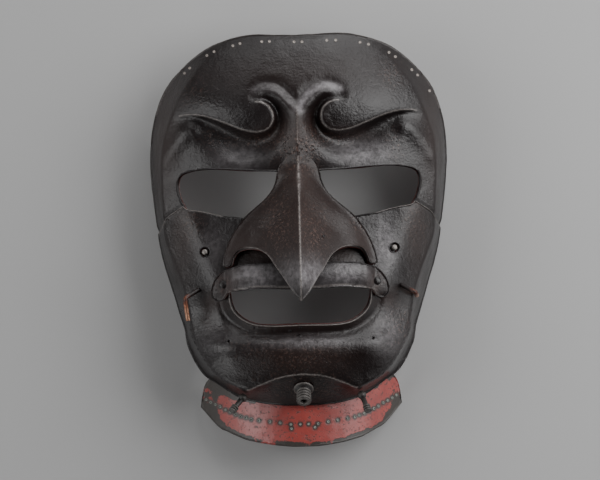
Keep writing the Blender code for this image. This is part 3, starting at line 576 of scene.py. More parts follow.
def russet_black_lacquer():
    """Old urushi lacquer on hammered iron, brushed on and polished, over the hammer's marks.

    The eye sees a soft broad sheen with brush drag in it, matt russet where the lacquer has aged,
    pits and rust specks where damp has lifted it, and mottled grey where it has dulled, which is
    also a painted highlight where the light catches lids, scrolls, band, beak and cheeks. The
    rubbed arrises are grey metal with a painted light line, and small holes have a painted
    near-white glint. Grain and specks are drawn coarser than real, so that they show.
    """
    made, tree, at, mark = blank_material("russet_black_lacquer_on_iron", (
        "inside", "pitted", "arris", "dulled_and_highlit", "russet", "hole_glint"))
    cloud, grain, fine = (
        add(tree, "ShaderNodeTexNoise", {"Vector": at, "Scale": 1 / (wide * MM), "Detail": detail,
                                         "Roughness": rough}).outputs["Fac"]
        for wide, detail, rough in ((24, 5.0, 0.6), (3.2, 3.0, 0.6), (1.6, 3.0, 0.65)))
    drawn = add(tree, "ShaderNodeMapping", {"Vector": at, "Scale": (0.14, 1.0, 1.0)}).outputs[0]
    brushed = add(tree, "ShaderNodeTexNoise", {"Vector": drawn, "Scale": 1 / (1.5 * MM),
                                               "Detail": 2.0}).outputs["Fac"]
    cells = add(tree, "ShaderNodeTexVoronoi", {"Vector": at, "Scale": 1 / (1.9 * MM),
                                               "Randomness": 1.0}).outputs["Distance"]
    depth = add(tree, "ShaderNodeValToRGB", {"Fac": cells}, ramp=[(0.10, 1.0), (0.34, 0.0)])
    # Pits everywhere are few and faint; where the plate is marked as pitted they crowd.
    crowd = add(tree, "ShaderNodeMath", {0: cloud, 1: 0.62}, operation="SUBTRACT").outputs[0]
    crowd = add(tree, "ShaderNodeMath", {0: crowd, 1: 1.6, 2: mark["pitted"]},
                operation="MULTIPLY_ADD", use_clamp=True).outputs[0]
    speck = add(tree, "ShaderNodeValToRGB", {"Fac": fine}, ramp=[(0.53, 0.0), (0.67, 1.0)])
    mottle = add(tree, "ShaderNodeMapRange", {0: grain, 1: 0.35, 2: 0.65, 3: 0.5, 4: 1.5}).outputs[0]
    # The arrises are rubbed to grey; their light line is also a painted highlight on each sharp fold.
    arris = add(tree, "ShaderNodeMath", {0: mark["arris"], 1: 2.0}, operation="POWER").outputs[0]
    broken = add(tree, "ShaderNodeMath", {0: fine, 1: 1.3, 2: -0.1}, operation="MULTIPLY_ADD",
                 use_clamp=True).outputs[0]
    # grey_highlight is a grey mottle painted as highlight over partly dulled lacquer; rub greys the
    # arrises, partly real wear and partly a painted highlight on each fold.
    pits, rust, grey_highlight, rub = (
        add(tree, "ShaderNodeMath", {0: share, 1: where}, operation="MULTIPLY",
            use_clamp=True).outputs[0]
        for share, where in ((depth.outputs["Color"], crowd), (speck.outputs["Color"], mark["pitted"]),
                             (mottle, mark["dulled_and_highlit"]), (broken, arris)))
    shade = add(tree, "ShaderNodeMix", {0: cloud, 6: colour(LACQUER_DARK), 7: colour(LACQUER_LIGHT)},
                data_type="RGBA").outputs[2]
    # In order: russet, rust specks, pits, the painted grey highlight, the rubbed arrises with their
    # painted light line, the painted glint round small holes, and the red inside.
    for share, tone in ((mark["russet"], RUSSET), (rust, RUST_SPECK), (pits, PIT), (grey_highlight, GREYED_HIGHLIGHT),
                        (rub, RUBBED_AND_HIGHLIT), (mark["hole_glint"], HOLE_GLINT_TONE), (mark["inside"], INSIDE_RED)):
        shade = add(tree, "ShaderNodeMix", {0: share, 6: shade, 7: colour(tone)},
                    data_type="RGBA").outputs[2]
    rough = add(tree, "ShaderNodeMapRange", {0: cloud, 1: 0.3, 2: 0.7, 3: GLOSS - 0.07,
                                             4: GLOSS + 0.09}).outputs[0]
    for share, duller in ((mark["russet"], 0.16), (pits, 0.35)):
        rough = add(tree, "ShaderNodeMath", {0: share, 1: duller, 2: rough},
                    operation="MULTIPLY_ADD", use_clamp=True).outputs[0]
    height = 0.0
    for layer, raised in ((pits, -1.0), (fine, 0.5), (grain, 0.2), (brushed, 0.25)):
        height = add(tree, "ShaderNodeMath", {0: layer, 1: raised, 2: height},
                     operation="MULTIPLY_ADD").outputs[0]
    bump = add(tree, "ShaderNodeBump", {"Height": height, "Strength": 0.9, "Distance": 0.5 * MM})
    shader = add(tree, "ShaderNodeBsdfPrincipled",
                 {"Base Color": shade, "Roughness": rough, "Normal": bump.outputs[0], "IOR": 1.5})
    add(tree, "ShaderNodeOutputMaterial", {"Surface": shader.outputs[0]})
    return made


def at_lines(*lines):
    """Mark for arrises: 1 on any of the lines, on both sides of the face, gone 1 mm away."""
    return lambda u, v: ridge(np.min([along(np.abs(u), v, line)[0] for line in lines], axis=0),
                              1, ARRIS_HALF)


def at_places(*places):
    """Mark for places of wear, and of painted highlight: each has a strength, a centre and half sizes.
    """
    return lambda u, v: np.clip(sum(swelling(u, v, *place) for place in places), 0, 1)


def lobe_drop(u, v):
    """How far the brow plate sinks to pass under the cheek plate."""
    away, _, side = along(np.abs(u), v, CHEEK_EDGE_LINE)
    above = np.where((side > 0) & (np.abs(u) > CHEEK_EDGE[0][0]), away, -away)
    under = (LOBE_DEPTH - STEP_DOWN) * ease(0, THIN_WIDE, -above)
    return -(STEP_DOWN * (1 - ease(GAP, STEP_WIDE, above)) + under) * (v < LOBE_TOP)


CHEEK_EDGE_LINE = curve_through(CHEEK_EDGE + [rim_at(CHEEK_EDGE_END)])
rim_upper = RIM_LINE[(RIM_LINE[:, 1] > LOBE_END + 1) & (RIM_LINE[:, 0] >= 0)]
rim_upper = np.vstack([rim_upper, [rim_at(LOBE_END)]])
bridge_corner = (EYE_TOP[0][0], BRIDGE_FOOT)
brow_half = [np.array([(0, BRIDGE_FOOT), bridge_corner], float),
             np.array([bridge_corner, EYE_TOP[0]], float), curve_through(EYE_TOP),
             np.array([EYE_TOP[-1], LOBE[-1]], float),
             curve_through(([rim_at(LOBE_END)] + LOBE)[::-1]), rim_upper[::-1]]
brow_foot = beside(BROW_LINE, [(share, -wide) for share, wide in BROW_SLOPE], 0.02, 0.93)
roll_top = beside(CREST_LINE, ROLL_AT, 0.52, 0.93)
brow_holes = [(u, v, LACING_HOLE) for u, v in BROW_HOLES]
brow_plan = plan_sheet(brow_half, [BROW_LINE, brow_foot, CREST_LINE[3 * STEPS:], roll_top,
                                   TURN_LINE[STEPS:15 * STEPS], CHEEK_EDGE_LINE],
                       brow_holes, walled=True)
russet_black = russet_black_lacquer()
# The grey painted highlight runs along the scroll over each brow, stronger on the right, where the
# light falls.
SHEEN_LINE = beside(CREST_LINE, 0.32 * ROLL_AT, 0.46, 0.96)
SHEEN_HALF, SHEEN_RIGHT, SHEEN_LEFT = 2.2, 0.8, 0.28


def round_holes(holes, full, gone):
    """Mark round some holes: 1 up to one distance from an edge, and gone from another."""
    return lambda u, v: 1 - ease(full, gone, np.min(
        [np.hypot(u - at_u, v - at_v) - radius for at_u, at_v, radius in holes], axis=0))


def painted_scroll_highlight(u, v):
    """Painted highlight, partly dulled lacquer: grey along the scroll over each brow, the right one
    more, and on the lids.
    """
    away, _, _ = along(np.abs(u), v, SHEEN_LINE)
    scroll = ridge(away, 1, SHEEN_HALF) * np.where(u > 0, SHEEN_RIGHT, SHEEN_LEFT)
    return scroll + at_places((0.65, 38, 51, 16, 7), (0.3, -36, 51, 14, 7))(u, v)


# The arrises are rubbed grey and carry a painted light line, a glint is painted round the lacing
# holes, and the scrolls and lids get a painted grey highlight.
brow_marks = {
    "arris": at_lines(BROW_LINE[STEPS:17 * STEPS], CREST_LINE[STEPS:3 * STEPS],
                      RIM_LINE[:9 * STEPS]),
    "hole_glint": round_holes(brow_holes, *GLINT_RIM),
    "russet": at_places((0.9, 0, 62, 12, 16), (0.5, 80, 60, 7, 40), (0.6, -80, 60, 9, 40),
                        (0.5, -20, 62, 14, 5), (0.5, 30, 62, 14, 5), (0.3, 0, 100, 60, 14)),
    "pitted": at_places((0.9, 6, 55, 8, 12), (0.7, -6, 56, 10, 12), (0.6, 58, 55, 5, 9),
                        (0.8, 26, 60, 12, 4), (0.8, -26, 60, 12, 4), (0.4, -50, 62, 10, 8),
                        (0.5, 56, 97, 7, 8), (0.3, -62, 90, 10, 12)),
    "dulled_and_highlit": painted_scroll_highlight,
}
brow = hammered("brow_plate_lacquered", brow_plan, face_height, lobe_drop, holes=brow_holes,
                marks=brow_marks)
brow.data.materials.append(russet_black)
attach(brow, "root")
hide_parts("brow_plate")

# Cheek and chin plate: cheeks, mouth, chin and what closes it beneath, raised from one sheet.
# It laps over the brow plate, and its holes drop over that plate's two locking pins.
EYE_FOOT = [(69.3, 21.6), (67, 19.7), (60, 18.5), (52.9, 17), (45.3, 15), (38.5, 14.2),
            (32.8, 13.3), (28.5, 13.2)]
FLAP = [(33, 1.8), (26, 1.5), (18.5, 0), (14, -3.5), (11.8, -9), (11.4, -15), (11.8, -19),
        (14, -20.3), (22, -20.4), (32, -20.2), (38.6, -20.6), (42.6, -24)]
NOSE_EDGE = [(0, 51.3), (0.9, 52.4), (5, 52), (9, 49), (11.2, 44.5), (11.5, 40), (12, 34.9),
             (14.2, 29.3), (18.7, 23.6), (24.4, 18.8), (29.7, 14.6), (33, 11.4), (37.3, 5.2),
             (41.4, -2.6), (44.2, -10.3), (44.9, -14.6)]
PIN_AT = (56.5, -5.8)
PIN_HOLE = 3.2
BEARD_HOLE = (43.2, -59.3, 0.9)
under_nose = beside(curve_through(NOSE_EDGE), LAP)
lapped = (under_nose[:, 1] < EYE_FOOT[-1][1] - 3) & (under_nose[:, 1] > FLAP[0][1] + 1)
nose_seat = np.vstack([[EYE_FOOT[-1]], under_nose[lapped], [FLAP[0]]])
rim_lower = np.vstack([[rim_at(CHEEK_EDGE_END)], RIM_LINE[RIM_LINE[:, 1] < CHEEK_EDGE_END - 1]])
cheek_half = [MOUTH_LINE[::-1], curve_through(FLAP)[::-1], nose_seat[::-1],
              curve_through(EYE_FOOT)[::-1], CHEEK_EDGE_LINE, rim_lower]
cheek_holes = [(side * u, v, radius) for side in (-1, 1)
               for u, v, radius in ((*PIN_AT, PIN_HOLE), BEARD_HOLE)]
cheek_plan = plan_sheet(cheek_half, [TURN_LINE[11 * STEPS:], CHEEK_LINE,
                                     beside(MOUTH_LINE, -LIP_GROOVE_AT, 0.22, 1)],
                        cheek_holes, walled=True)
cheek_marks = {
    "arris": at_lines(TURN_LINE[24 * STEPS:], MOUTH_LINE, CHEEK_EDGE_LINE,
                      curve_through(EYE_FOOT)[:4 * STEPS]),
    "russet": at_places((0.8, 0, -70, 30, 9), (0.6, 70, 5, 7, 25), (0.7, -70, 5, 8, 25),
                        (0.7, 52, -36, 8, 6), (0.7, -50, -36, 8, 6), (0.9, 26, -8, 12, 8),
                        (0.9, -26, -8, 12, 8), (0.6, 0, -50, 40, 4)),
    "pitted": at_places((0.6, 0, -68, 22, 10), (0.6, 58, -52, 10, 14), (0.5, 69, 8, 8, 14),
                        (0.4, -64, 10, 8, 12), (0.3, -30, -62, 14, 10), (0.5, 0, -88, 30, 8)),
    # Grey painted highlight, partly dulled lacquer, on the right jowl, the lower lip and the right
    # cheek, fainter on the left.
    "dulled_and_highlit": at_places((0.35, 52, -56, 9, 12), (0.5, 4, -61, 24, 3.2), (0.6, 51, -4, 6, 15),
                       (0.2, -52, -2, 8, 12), (0.16, -52, -56, 9, 10)),
}


def cheek_wall(u, v):
    """The cheek plate thins towards its edge on the brow plate."""
    away, _, _ = along(np.abs(u), v, CHEEK_EDGE_LINE)
    return THIN + (WALL - THIN) * ease(EDGE, THIN_WIDE, away)


cheek = hammered("cheek_and_chin_plate_lacquered", cheek_plan, face_height, wall=cheek_wall,
                 marks=cheek_marks)
cheek.data.materials.append(russet_black)
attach(cheek, "root")
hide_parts("cheek_and_chin_plate")

# Nose: a beak with its two side plates, forged from one iron sheet to a sharp ridge, lacquered
# as the face is, and riveted over the brow plate's foot and the cheeks.
NOSTRIL = [(44.9, -14.6), (42.4, -15.4), (40.2, -14.4), (39.4, -12.2), (38, -9), (35.2, -5.7),
           (30, -4), (25.7, -4.3), (21.7, -6.3), (18.3, -9.4), (14.7, -15), (10.7, -21),
           (7.6, -26), (3.4, -32.2), (0, -36)]
NOSE_HALF = [(56, 10), (50, 10.5), (44, 11.2), (40, 11.5), (34.9, 12), (29.3, 14.2),
             (23.6, 18.7), (18.8, 24.4), (14.6, 29.7), (5.2, 37.3), (-2.6, 41.4),
             (-10.3, 44.2), (-16.8, 45.2), (-36, 46)]
RIDGE_RISE = [(56, 0.0), (50, 0.01), (46, 0.05), (42, 0.12), (38, 0.2), (30, 0.4), (20, 0.58),
              (10, 0.71), (0, 0.83), (-10, 0.93), (-18, 0.985), (-24, 1.0), (-29, 0.975),
              (-33.2, 0.90), (-36, 0.84)]
NOSE_RISE = 45.5
FLANK = 1.35
NOSTRIL_HOOD = (4.2, 30, -5, 10, 10)
OVER = WALL + 2 * GAP       # a plate that lies on another
# The plate is seated along its edge, from SEAT_TOP down; its root blends into the face over
# ROOT_BLEND, and over ROOT_FLUSH it thins to ROOT_THIN and is let in at its edge.
SEAT_WIDE, SEAT_TOP = (4, 14), (36, 26)
ROOT_BLEND, ROOT_FLUSH = (40, 50), (38, 47)
ROOT_THIN, ROOT_IN, ROOT_OUT, ROOT_WIDE = 0.3, -0.2, 0.3, 3


def nose_height(u, v):
    """The beak's own surface: a sharp ridge with hollow flanks, hooding the nostrils."""
    u = np.abs(u)
    half = read(sorted(NOSE_HALF), v)
    foot = face_height(half, v)
    top = face_height(np.zeros_like(v), v) + NOSE_RISE * read(sorted(RIDGE_RISE), v)
    flank = (1 - np.clip(u / half, 0, 1)) ** FLANK
    hood = swelling(u, v, *NOSTRIL_HOOD) * ease(0, 0.25, 1 - u / half)
    beak = foot + (top - foot) * flank + hood
    return beak + (face_height(u, v) - beak) * ease(*ROOT_BLEND, v)


nose_half = [curve_through(NOSE_EDGE), curve_through(NOSTRIL)]
ridge_line = np.array([(0, 51), (0, -35.4)], float)
nose_plan = plan_sheet(nose_half, [ridge_line])
nose_marks = {
    "arris": at_lines(ridge_line, curve_through(NOSTRIL)[2 * STEPS:]),
    "russet": at_places((0.9, 0, 8, 34, 26), (0.8, 0, 40, 12, 14), (0.6, 38, -4, 8, 12),
                        (0.6, -38, -4, 8, 12)),
    "pitted": at_places((0.8, 8, 4, 9, 18), (0.8, -12, 8, 10, 22), (0.6, 0, 45, 10, 10),
                        (0.7, 36, 8, 6, 5)),
    # Grey painted highlight, partly dulled lacquer, low on the beak, the right flank more.
    "dulled_and_highlit": at_places((0.6, 6, -20, 8, 9), (0.35, -6, -20, 8, 9)),
}


def nose_lift(u, v):
    """The nose stands on the plates along its seat, and its root is flush with the brow plate."""
    away, _, _ = along(np.abs(u), v, curve_through(NOSE_EDGE))
    seated = OVER * (1 - ease(*SEAT_WIDE, away) * ease(*SEAT_TOP, v))
    root = ROOT_IN + (ROOT_OUT - ROOT_IN) * ease(0, ROOT_WIDE, away)
    return seated + (root - seated) * ease(*ROOT_FLUSH, v)


def nose_wall(u, v):
    """The nose plate thins towards its root."""
    return WALL + (ROOT_THIN - WALL) * ease(*ROOT_FLUSH, v)


nose = hammered("nose_lacquered", nose_plan, nose_height, nose_lift, nose_wall, marks=nose_marks)
nose.data.materials.append(russet_black)
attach(nose, "root")
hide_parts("nose")

# Lip band: a bowed strip of lacquered iron across the upper lip, forged apart from the face,
# rubbed along its front, where a grey highlight is also painted, and riveted to the cheeks through its
# round ears.
BAND_TOP = [(0, -14.6), (20, -14.8), (33, -15.2), (40, -16.8), (45.6, -18.8), (49.8, -23),
            (51.7, -28.6)]
BAND_FOOT = [(51.7, -28.6), (50.9, -32.2), (48.2, -34), (45, -33.6), (42.6, -30.4),
             (39, -28.6), (33, -27.6), (26, -27), (14, -27.4), (0, -27.8)]
BAND_FRONT = 73.0
BAND_MIDDLE = -21.0
BAND_HALF = 7.0
BAND_CROWN = 2.6
BAND_SPAN = 45.0
BAND_BOW = 9.0
EAR_FROM, EAR_TO = 38.0, 44.0


def band_height(u, v):
    """The lip band bows forward from ear to ear and is crowned across."""
    u = np.abs(u)
    ear = face_height(u, v)
    across = ((v - BAND_MIDDLE) / BAND_HALF) ** 2
    bow = BAND_FRONT - BAND_BOW * (u / BAND_SPAN) ** 2 - BAND_CROWN * across
    return np.where(u > EAR_FROM, ear + (bow - ear) * ease(EAR_TO, EAR_FROM, u), bow)


band_half = [curve_through(BAND_TOP), curve_through(BAND_FOOT)]
band_plan = plan_sheet(band_half)
band_marks = {
    "arris": at_lines(curve_through(BAND_FOOT)[3 * STEPS:]),
    "russet": at_places((0.8, 44, -26, 7, 8), (0.9, -42, -25, 8, 9)),
    "pitted": at_places((0.3, 45, -26, 8, 8), (0.5, -45, -26, 8, 8)),
    # Grey painted highlight, partly dulled lacquer, along the band's front.
    "dulled_and_highlit": at_places((0.7, 26, -21, 14, 7), (0.8, -26, -21, 13, 7)),
}
band = hammered("lip_band_lacquered", band_plan, band_height, OVER, marks=band_marks)
band.data.materials.append(russet_black)
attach(band, "root")
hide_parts("lip_band")

# Throat collar: the first throat plate, red lacquer over iron, worn along its hem and ends, with
# a row of holes for the lacing that hung the next plates.
COLLAR_END = 60.0
COLLAR_END_V = -98.6
COLLAR_EAR = (57.6, -86)
COLLAR_FOOT = 2.2
COLLAR_STAND = 40.0
COLLAR_DROP = 24.4
COLLAR_HEM = [(60, 0), (50, 0.467), (44, 0.61), (38, 0.733), (33, 0.816), (21, 0.926),
              (9, 0.988), (0, 1)]
COLLAR_CURVE = 2.2
COLLAR_LEAN = 0.0016
JAW_V = -82.0
COLLAR_HOLE = 0.6
COLLAR_HOLES = [(57.1, -94.3), (54.4, -95.9), (51.6, -97.3), (48.9, -98.6), (45.8, -100.5),
                (43.0, -101.9), (40, -103.4), (37.1, -104.6), (33.9, -105.5), (31.0, -106.5),
                (26.5, -107.2), (20.2, -108.1), (14.4, -108.9), (8.1, -110), (2.5, -110)]
SECOND_HOLES = [(-7.8, -112.5), (6.2, -112.1)]
CORD_RING = (0.8, 1.4)      # dark iron round each hole: full up to, and gone from
RED_DARK, RED_LIGHT, COLLAR_INSIDE = "#822b27", "#bd5851", "#5a1a14"
# COLLAR_HOLE_GLINT is a pale glint painted on each lacing hole's rim.
IRON_DARK, IRON_LIGHT, COLLAR_HOLE_GLINT = "#191412", "#423a34", "#aeb2aa"


def collar_height(u, v):
    """The collar sweeps down from its middle to its ends, and a little towards its hem."""
    sweep = np.clip(np.abs(u) / COLLAR_END, 0, 1) ** COLLAR_CURVE
    lean = 1 + COLLAR_LEAN * (v - COLLAR_END_V)
    return COLLAR_FOOT + (COLLAR_STAND - COLLAR_FOOT) * (1 - sweep) * lean


tuck = beside(RIM_LINE[RIM_LINE[:, 1] < JAW_V], [(0, 0.5 * LAP), (1, 0.75 * LAP)])
collar_top = np.vstack([tuck, [(0, RIM[-1][1] + 0.75 * LAP)]])[::-1]
collar_top = collar_top[collar_top[:, 0] >= 0]
collar_hem = curve_through([(u, COLLAR_END_V - COLLAR_DROP * share) for u, share in COLLAR_HEM])
collar_end = curve_through([tuple(collar_top[-1]), COLLAR_EAR, (COLLAR_END, COLLAR_END_V)])
collar_holes = [(side * u, v, COLLAR_HOLE) for side in (-1, 1) for u, v in COLLAR_HOLES]
collar_holes += [(u, v, COLLAR_HOLE) for u, v in SECOND_HOLES]
collar_plan = plan_sheet([collar_top, collar_end, collar_hem], holes=collar_holes)


def cinnabar_lacquer():
    """Cinnabar urushi over black, on iron: semi-gloss, chipped to the dark iron in patches.

    The eye sees a warm matt red with a pinkish sheen; its chips have hard outlines, and along its
    top, most under the left of the jaw, they are partly painted shadow of the jaw. Each lacing hole
    has a dark ring where the cord rubbed it, and a pale glint painted on its rim.
    """
    made, tree, at, mark = blank_material("cinnabar_lacquer_on_iron",
                                          ("lost_and_jaw_shadow", "eyelet", "hole_glint", "inside"))
    cloud, fine = (
        add(tree, "ShaderNodeTexNoise", {"Vector": at, "Scale": 1 / (wide * MM), "Detail": detail,
                                         "Roughness": rough}).outputs["Fac"]
        for wide, detail, rough in ((9, 6.0, 0.62), (1.7, 3.0, 0.65)))
    red, iron = (
        add(tree, "ShaderNodeMix", {0: share, 6: colour(dark), 7: colour(light)},
            data_type="RGBA").outputs[2]
        for share, dark, light in ((cloud, RED_DARK, RED_LIGHT), (fine, IRON_DARK, IRON_LIGHT)))
    # gone is lacquer worn away plus painted shadow of the jaw along the top; past the ramp it shows as
    # dark iron chips.
    gone = add(tree, "ShaderNodeMath", {0: cloud, 1: mark["lost_and_jaw_shadow"]}, operation="ADD").outputs[0]
    chips = add(tree, "ShaderNodeValToRGB", {"Fac": gone}, ramp=[(0.76, 0.0), (0.80, 1.0)])
    speck = add(tree, "ShaderNodeValToRGB", {"Fac": fine}, ramp=[(0.57, 0.0), (0.64, 0.8)])
    bare = mark["eyelet"]
    for more in (chips, speck):
        bare = add(tree, "ShaderNodeMath", {0: bare, 1: more.outputs["Color"]},
                   operation="MAXIMUM").outputs[0]
    shade = red
    for share, tone in ((bare, iron), (mark["hole_glint"], colour(COLLAR_HOLE_GLINT)),
                        (mark["inside"], colour(COLLAR_INSIDE))):
        shade = add(tree, "ShaderNodeMix", {0: share, 6: shade, 7: tone},
                    data_type="RGBA").outputs[2]
    rough = add(tree, "ShaderNodeMapRange", {0: bare, 1: 0.0, 2: 1.0, 3: 0.34, 4: 0.6}).outputs[0]
    height = add(tree, "ShaderNodeMath", {0: bare, 1: -1.0, 2: fine},
                 operation="MULTIPLY_ADD").outputs[0]
    bump = add(tree, "ShaderNodeBump", {"Height": height, "Strength": 0.6, "Distance": 0.25 * MM})
    shader = add(tree, "ShaderNodeBsdfPrincipled",
                 {"Base Color": shade, "Roughness": rough, "Normal": bump.outputs[0], "IOR": 1.54,
                  "Coat Weight": 0.7, "Coat Roughness": 0.38})
    add(tree, "ShaderNodeOutputMaterial", {"Surface": shader.outputs[0]})
    return made


def lost_lacquer_and_jaw_shadow(u, v):
    """More lacquer is gone at the collar's ends and its hem; the darkening along its top, strongest
    under the left of the jaw, is partly lacquer gone and partly painted shadow of the jaw.
    """
    hem = along(np.abs(u), v, collar_hem)[0]
    top = along(np.abs(u), v, collar_top)[0]
    ends = 0.34 * ease(38, 56, -u) + 0.30 * ease(46, 60, u)
    # Along the top, under the jaw and most under its left, the darkening is partly lacquer gone and
    # partly painted shadow of the jaw.
    shoulder = 0.4 * ease(20, 40, -u) * (1 - ease(4, 9, top))
    return 0.36 * (1 - ease(0.5, 5.5, hem)) + ends + shoulder + 0.2 * (1 - ease(3, 7, top))


collar = hammered("throat_collar_lacquered", collar_plan, collar_height, holes=collar_holes,
                  marks={"lost_and_jaw_shadow": lost_lacquer_and_jaw_shadow, "eyelet": round_holes(collar_holes, *CORD_RING),
                         "hole_glint": round_holes(collar_holes, *GLINT_RIM)})
collar.data.materials.append(cinnabar_lacquer())
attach(collar, "root")
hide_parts("throat_collar")

# Locking pins: riveted through the brow plate's lobes, they stand up through holes in the cheeks
# and keep the two plates together. Blackened iron, their domed heads rubbed bright.
PIN_RADIUS = 1.7
PIN_STAND = 1.3
SIDES = {"left": -1, "right": 1}
BLACK_SKIN, GREY_METAL = "#1c1817", "#8b8682"
LATHE_SIDES = 40
PROBE = 1.6                 # how far off a point the face's slope is read
STEEPEST = 12               # and the steepest slope that counts


def blackened_iron(name, rubbed):
    """Fire-blackened iron: the eye sees a dark matt skin, rubbed to grey metal on high places."""
    made, tree, at, _ = blank_material(name)
    point = add(tree, "ShaderNodeNewGeometry").outputs["Pointiness"]
    grain = add(tree, "ShaderNodeTexNoise", {"Vector": at, "Scale": 1 / (1.3 * MM), "Detail": 4.0,
                                             "Roughness": 0.6}).outputs["Fac"]
    high = add(tree, "ShaderNodeMapRange", {0: point, 1: 0.5, 2: 0.56, 3: 0.0, 4: 1.0}).outputs[0]
    rub = add(tree, "ShaderNodeMath", {0: grain, 1: high}, operation="MULTIPLY").outputs[0]
    rub = add(tree, "ShaderNodeMath", {0: rub, 1: rubbed}, operation="MULTIPLY",
              use_clamp=True).outputs[0]
    shade = add(tree, "ShaderNodeMix", {0: rub, 6: colour(BLACK_SKIN), 7: colour(GREY_METAL)},
                data_type="RGBA").outputs[2]
    metal = add(tree, "ShaderNodeMath", {0: rub, 1: 0.8}, operation="MULTIPLY").outputs[0]
    rough = add(tree, "ShaderNodeMapRange", {0: grain, 1: 0.3, 2: 0.7, 3: 0.36, 4: 0.6}).outputs[0]
    bump = add(tree, "ShaderNodeBump", {"Height": grain, "Strength": 0.5, "Distance": 0.2 * MM})
    shader = add(tree, "ShaderNodeBsdfPrincipled",
                 {"Base Color": shade, "Roughness": rough, "Metallic": metal,
                  "Normal": bump.outputs[0]})
    add(tree, "ShaderNodeOutputMaterial", {"Surface": shader.outputs[0]})
    return made


def seat(at, side, surface=face_height, lift=0.0):
    """Point on the outside of the face and the direction square to it, on one side."""
    u = at[0] + np.array([PROBE, -PROBE, 0, 0, 0])
    v = at[1] + np.array([0, 0, PROBE, -PROBE, 0])
    east, west, north, south, here = surface(u, v)
    across, upward = np.clip([east - west, north - south], -STEEPEST * PROBE, STEEPEST * PROBE)
    way = np.cross([2 * PROBE, 0, across], [0, 2 * PROBE, upward])
    way /= np.linalg.norm(way)
    spot = (np.array([at[0], at[1], here]) + way * lift) * (side, 1, 1)
    return leaned(spot), way * (side, 1, 1)


def lathe(profile):
    """Corners and faces of a profile of radii and heights, spun about Z.

    A radius of 0 closes it with one corner, and a profile that ends where it begins is a ring.
    """
    corners, faces, before, first_ring = [], [], None, None
    for radius, height in profile:
        first = len(corners)
        if first_ring and (radius, height) == profile[0]:
            ring = first_ring
        elif radius == 0:
            corners.append((0, 0, height))
            ring = [first] * LATHE_SIDES
        else:
            corners += [(radius * math.cos(turn), radius * math.sin(turn), height)
                        for turn in np.linspace(0, 2 * math.pi, LATHE_SIDES, endpoint=False)]
            ring = list(range(first, first + LATHE_SIDES))
        for i in range(LATHE_SIDES if before else 0):
            quad = [before[i], before[i - 1], ring[i - 1], ring[i]]
            faces.append(list(dict.fromkeys(quad))[::-1])
        before, first_ring = ring, first_ring or ring
    return corners, faces


def fitted(name, corners, faces, spot, way, material):
    """A fitting modelled about +Z in millimetres, set in its place on the mask."""
    turn = Vector(way).to_track_quat("Z", "X")
    mesh = bpy.data.meshes.new(name)
    places = [(turn @ Vector(c) + Vector(spot) + Vector(SET_DOWN)) * MM for c in corners]
    mesh.from_pydata(places, [], faces)
    mesh.shade_smooth()
    mesh.set_sharp_from_angle(angle=math.radians(50))
    mesh.materials.append(material)
    return placed(name, mesh)


pin_iron = blackened_iron("rubbed_blackened_iron", 3.0)
pin_profile = [(0, GAP - LOBE_DEPTH), (PIN_RADIUS, GAP - LOBE_DEPTH),
               (PIN_RADIUS, PIN_STAND - 0.6), (PIN_RADIUS - 0.15, PIN_STAND - 0.25),
               (PIN_RADIUS - 0.6, PIN_STAND), (0, PIN_STAND + 0.15)]
for side, sign in SIDES.items():
    pin = fitted("locking_pin_head_" + side, *lathe(pin_profile), *seat(PIN_AT, sign), pin_iron)
    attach(pin, "root")
    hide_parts("locking_pin_" + side)

# Rivets: domed iron heads through the band's ears, lacquered over with the plates, and a few
# small ones that close repairs on the nose and the lower lip. One dome, set on points.
RIVET_AT = (45.4, -25.7)
RIVET_RADIUS = 2.4
RIVET_RISE = 1.0


def interface(tree, sockets):
    """Named sockets of a modifier's node tree, and where each one's value comes from."""
    for name, kind, value in sockets:
        made = tree.interface.new_socket(name, in_out="INPUT", socket_type=kind)
        if value is not None:
            made.default_value = value
    tree.interface.new_socket("Geometry", in_out="OUTPUT", socket_type="NodeSocketGeometry")
    return tree.nodes.new("NodeGroupInput").outputs


def grown(name, corners, edges, tree, values, marks={}):
    """The plain mesh that a node tree grows from some points or edges, in metres."""
    mesh = bpy.data.meshes.new(name)
    mesh.from_pydata(corners, edges, [])
    for mark, (kind, value) in marks.items():
        held = mesh.attributes.new(mark, kind, "POINT")
        field = "vector" if kind == "FLOAT_VECTOR" else "value"
        held.data.foreach_set(field, np.array(value, np.float32).ravel())
    seed = placed(name, mesh)
    growth = seed.modifiers.new("growth", "NODES")
    growth.node_group = tree
    for item in tree.interface.items_tree:
        if item.in_out == "INPUT" and item.name in values:
            growth[item.identifier] = values[item.name]
    bpy.context.view_layer.update()
    done = bpy.data.meshes.new_from_object(seed.evaluated_get(bpy.context.evaluated_depsgraph_get()))
    seed.modifiers.clear()
    seed.data = done
    done.name = name
    return seed


def finished(tree, geometry, finish):
    """The end of a piece's node tree: real, smooth geometry in its material."""
    real = add(tree, "GeometryNodeRealizeInstances", {"Geometry": geometry})
    smooth = add(tree, "GeometryNodeSetShadeSmooth", {"Geometry": real.outputs[0]})
    done = add(tree, "GeometryNodeSetMaterial", {"Geometry": smooth.outputs[0],
                                                 "Material": finish})
    add(tree, "NodeGroupOutput", {"Geometry": done.outputs[0]})
    return tree


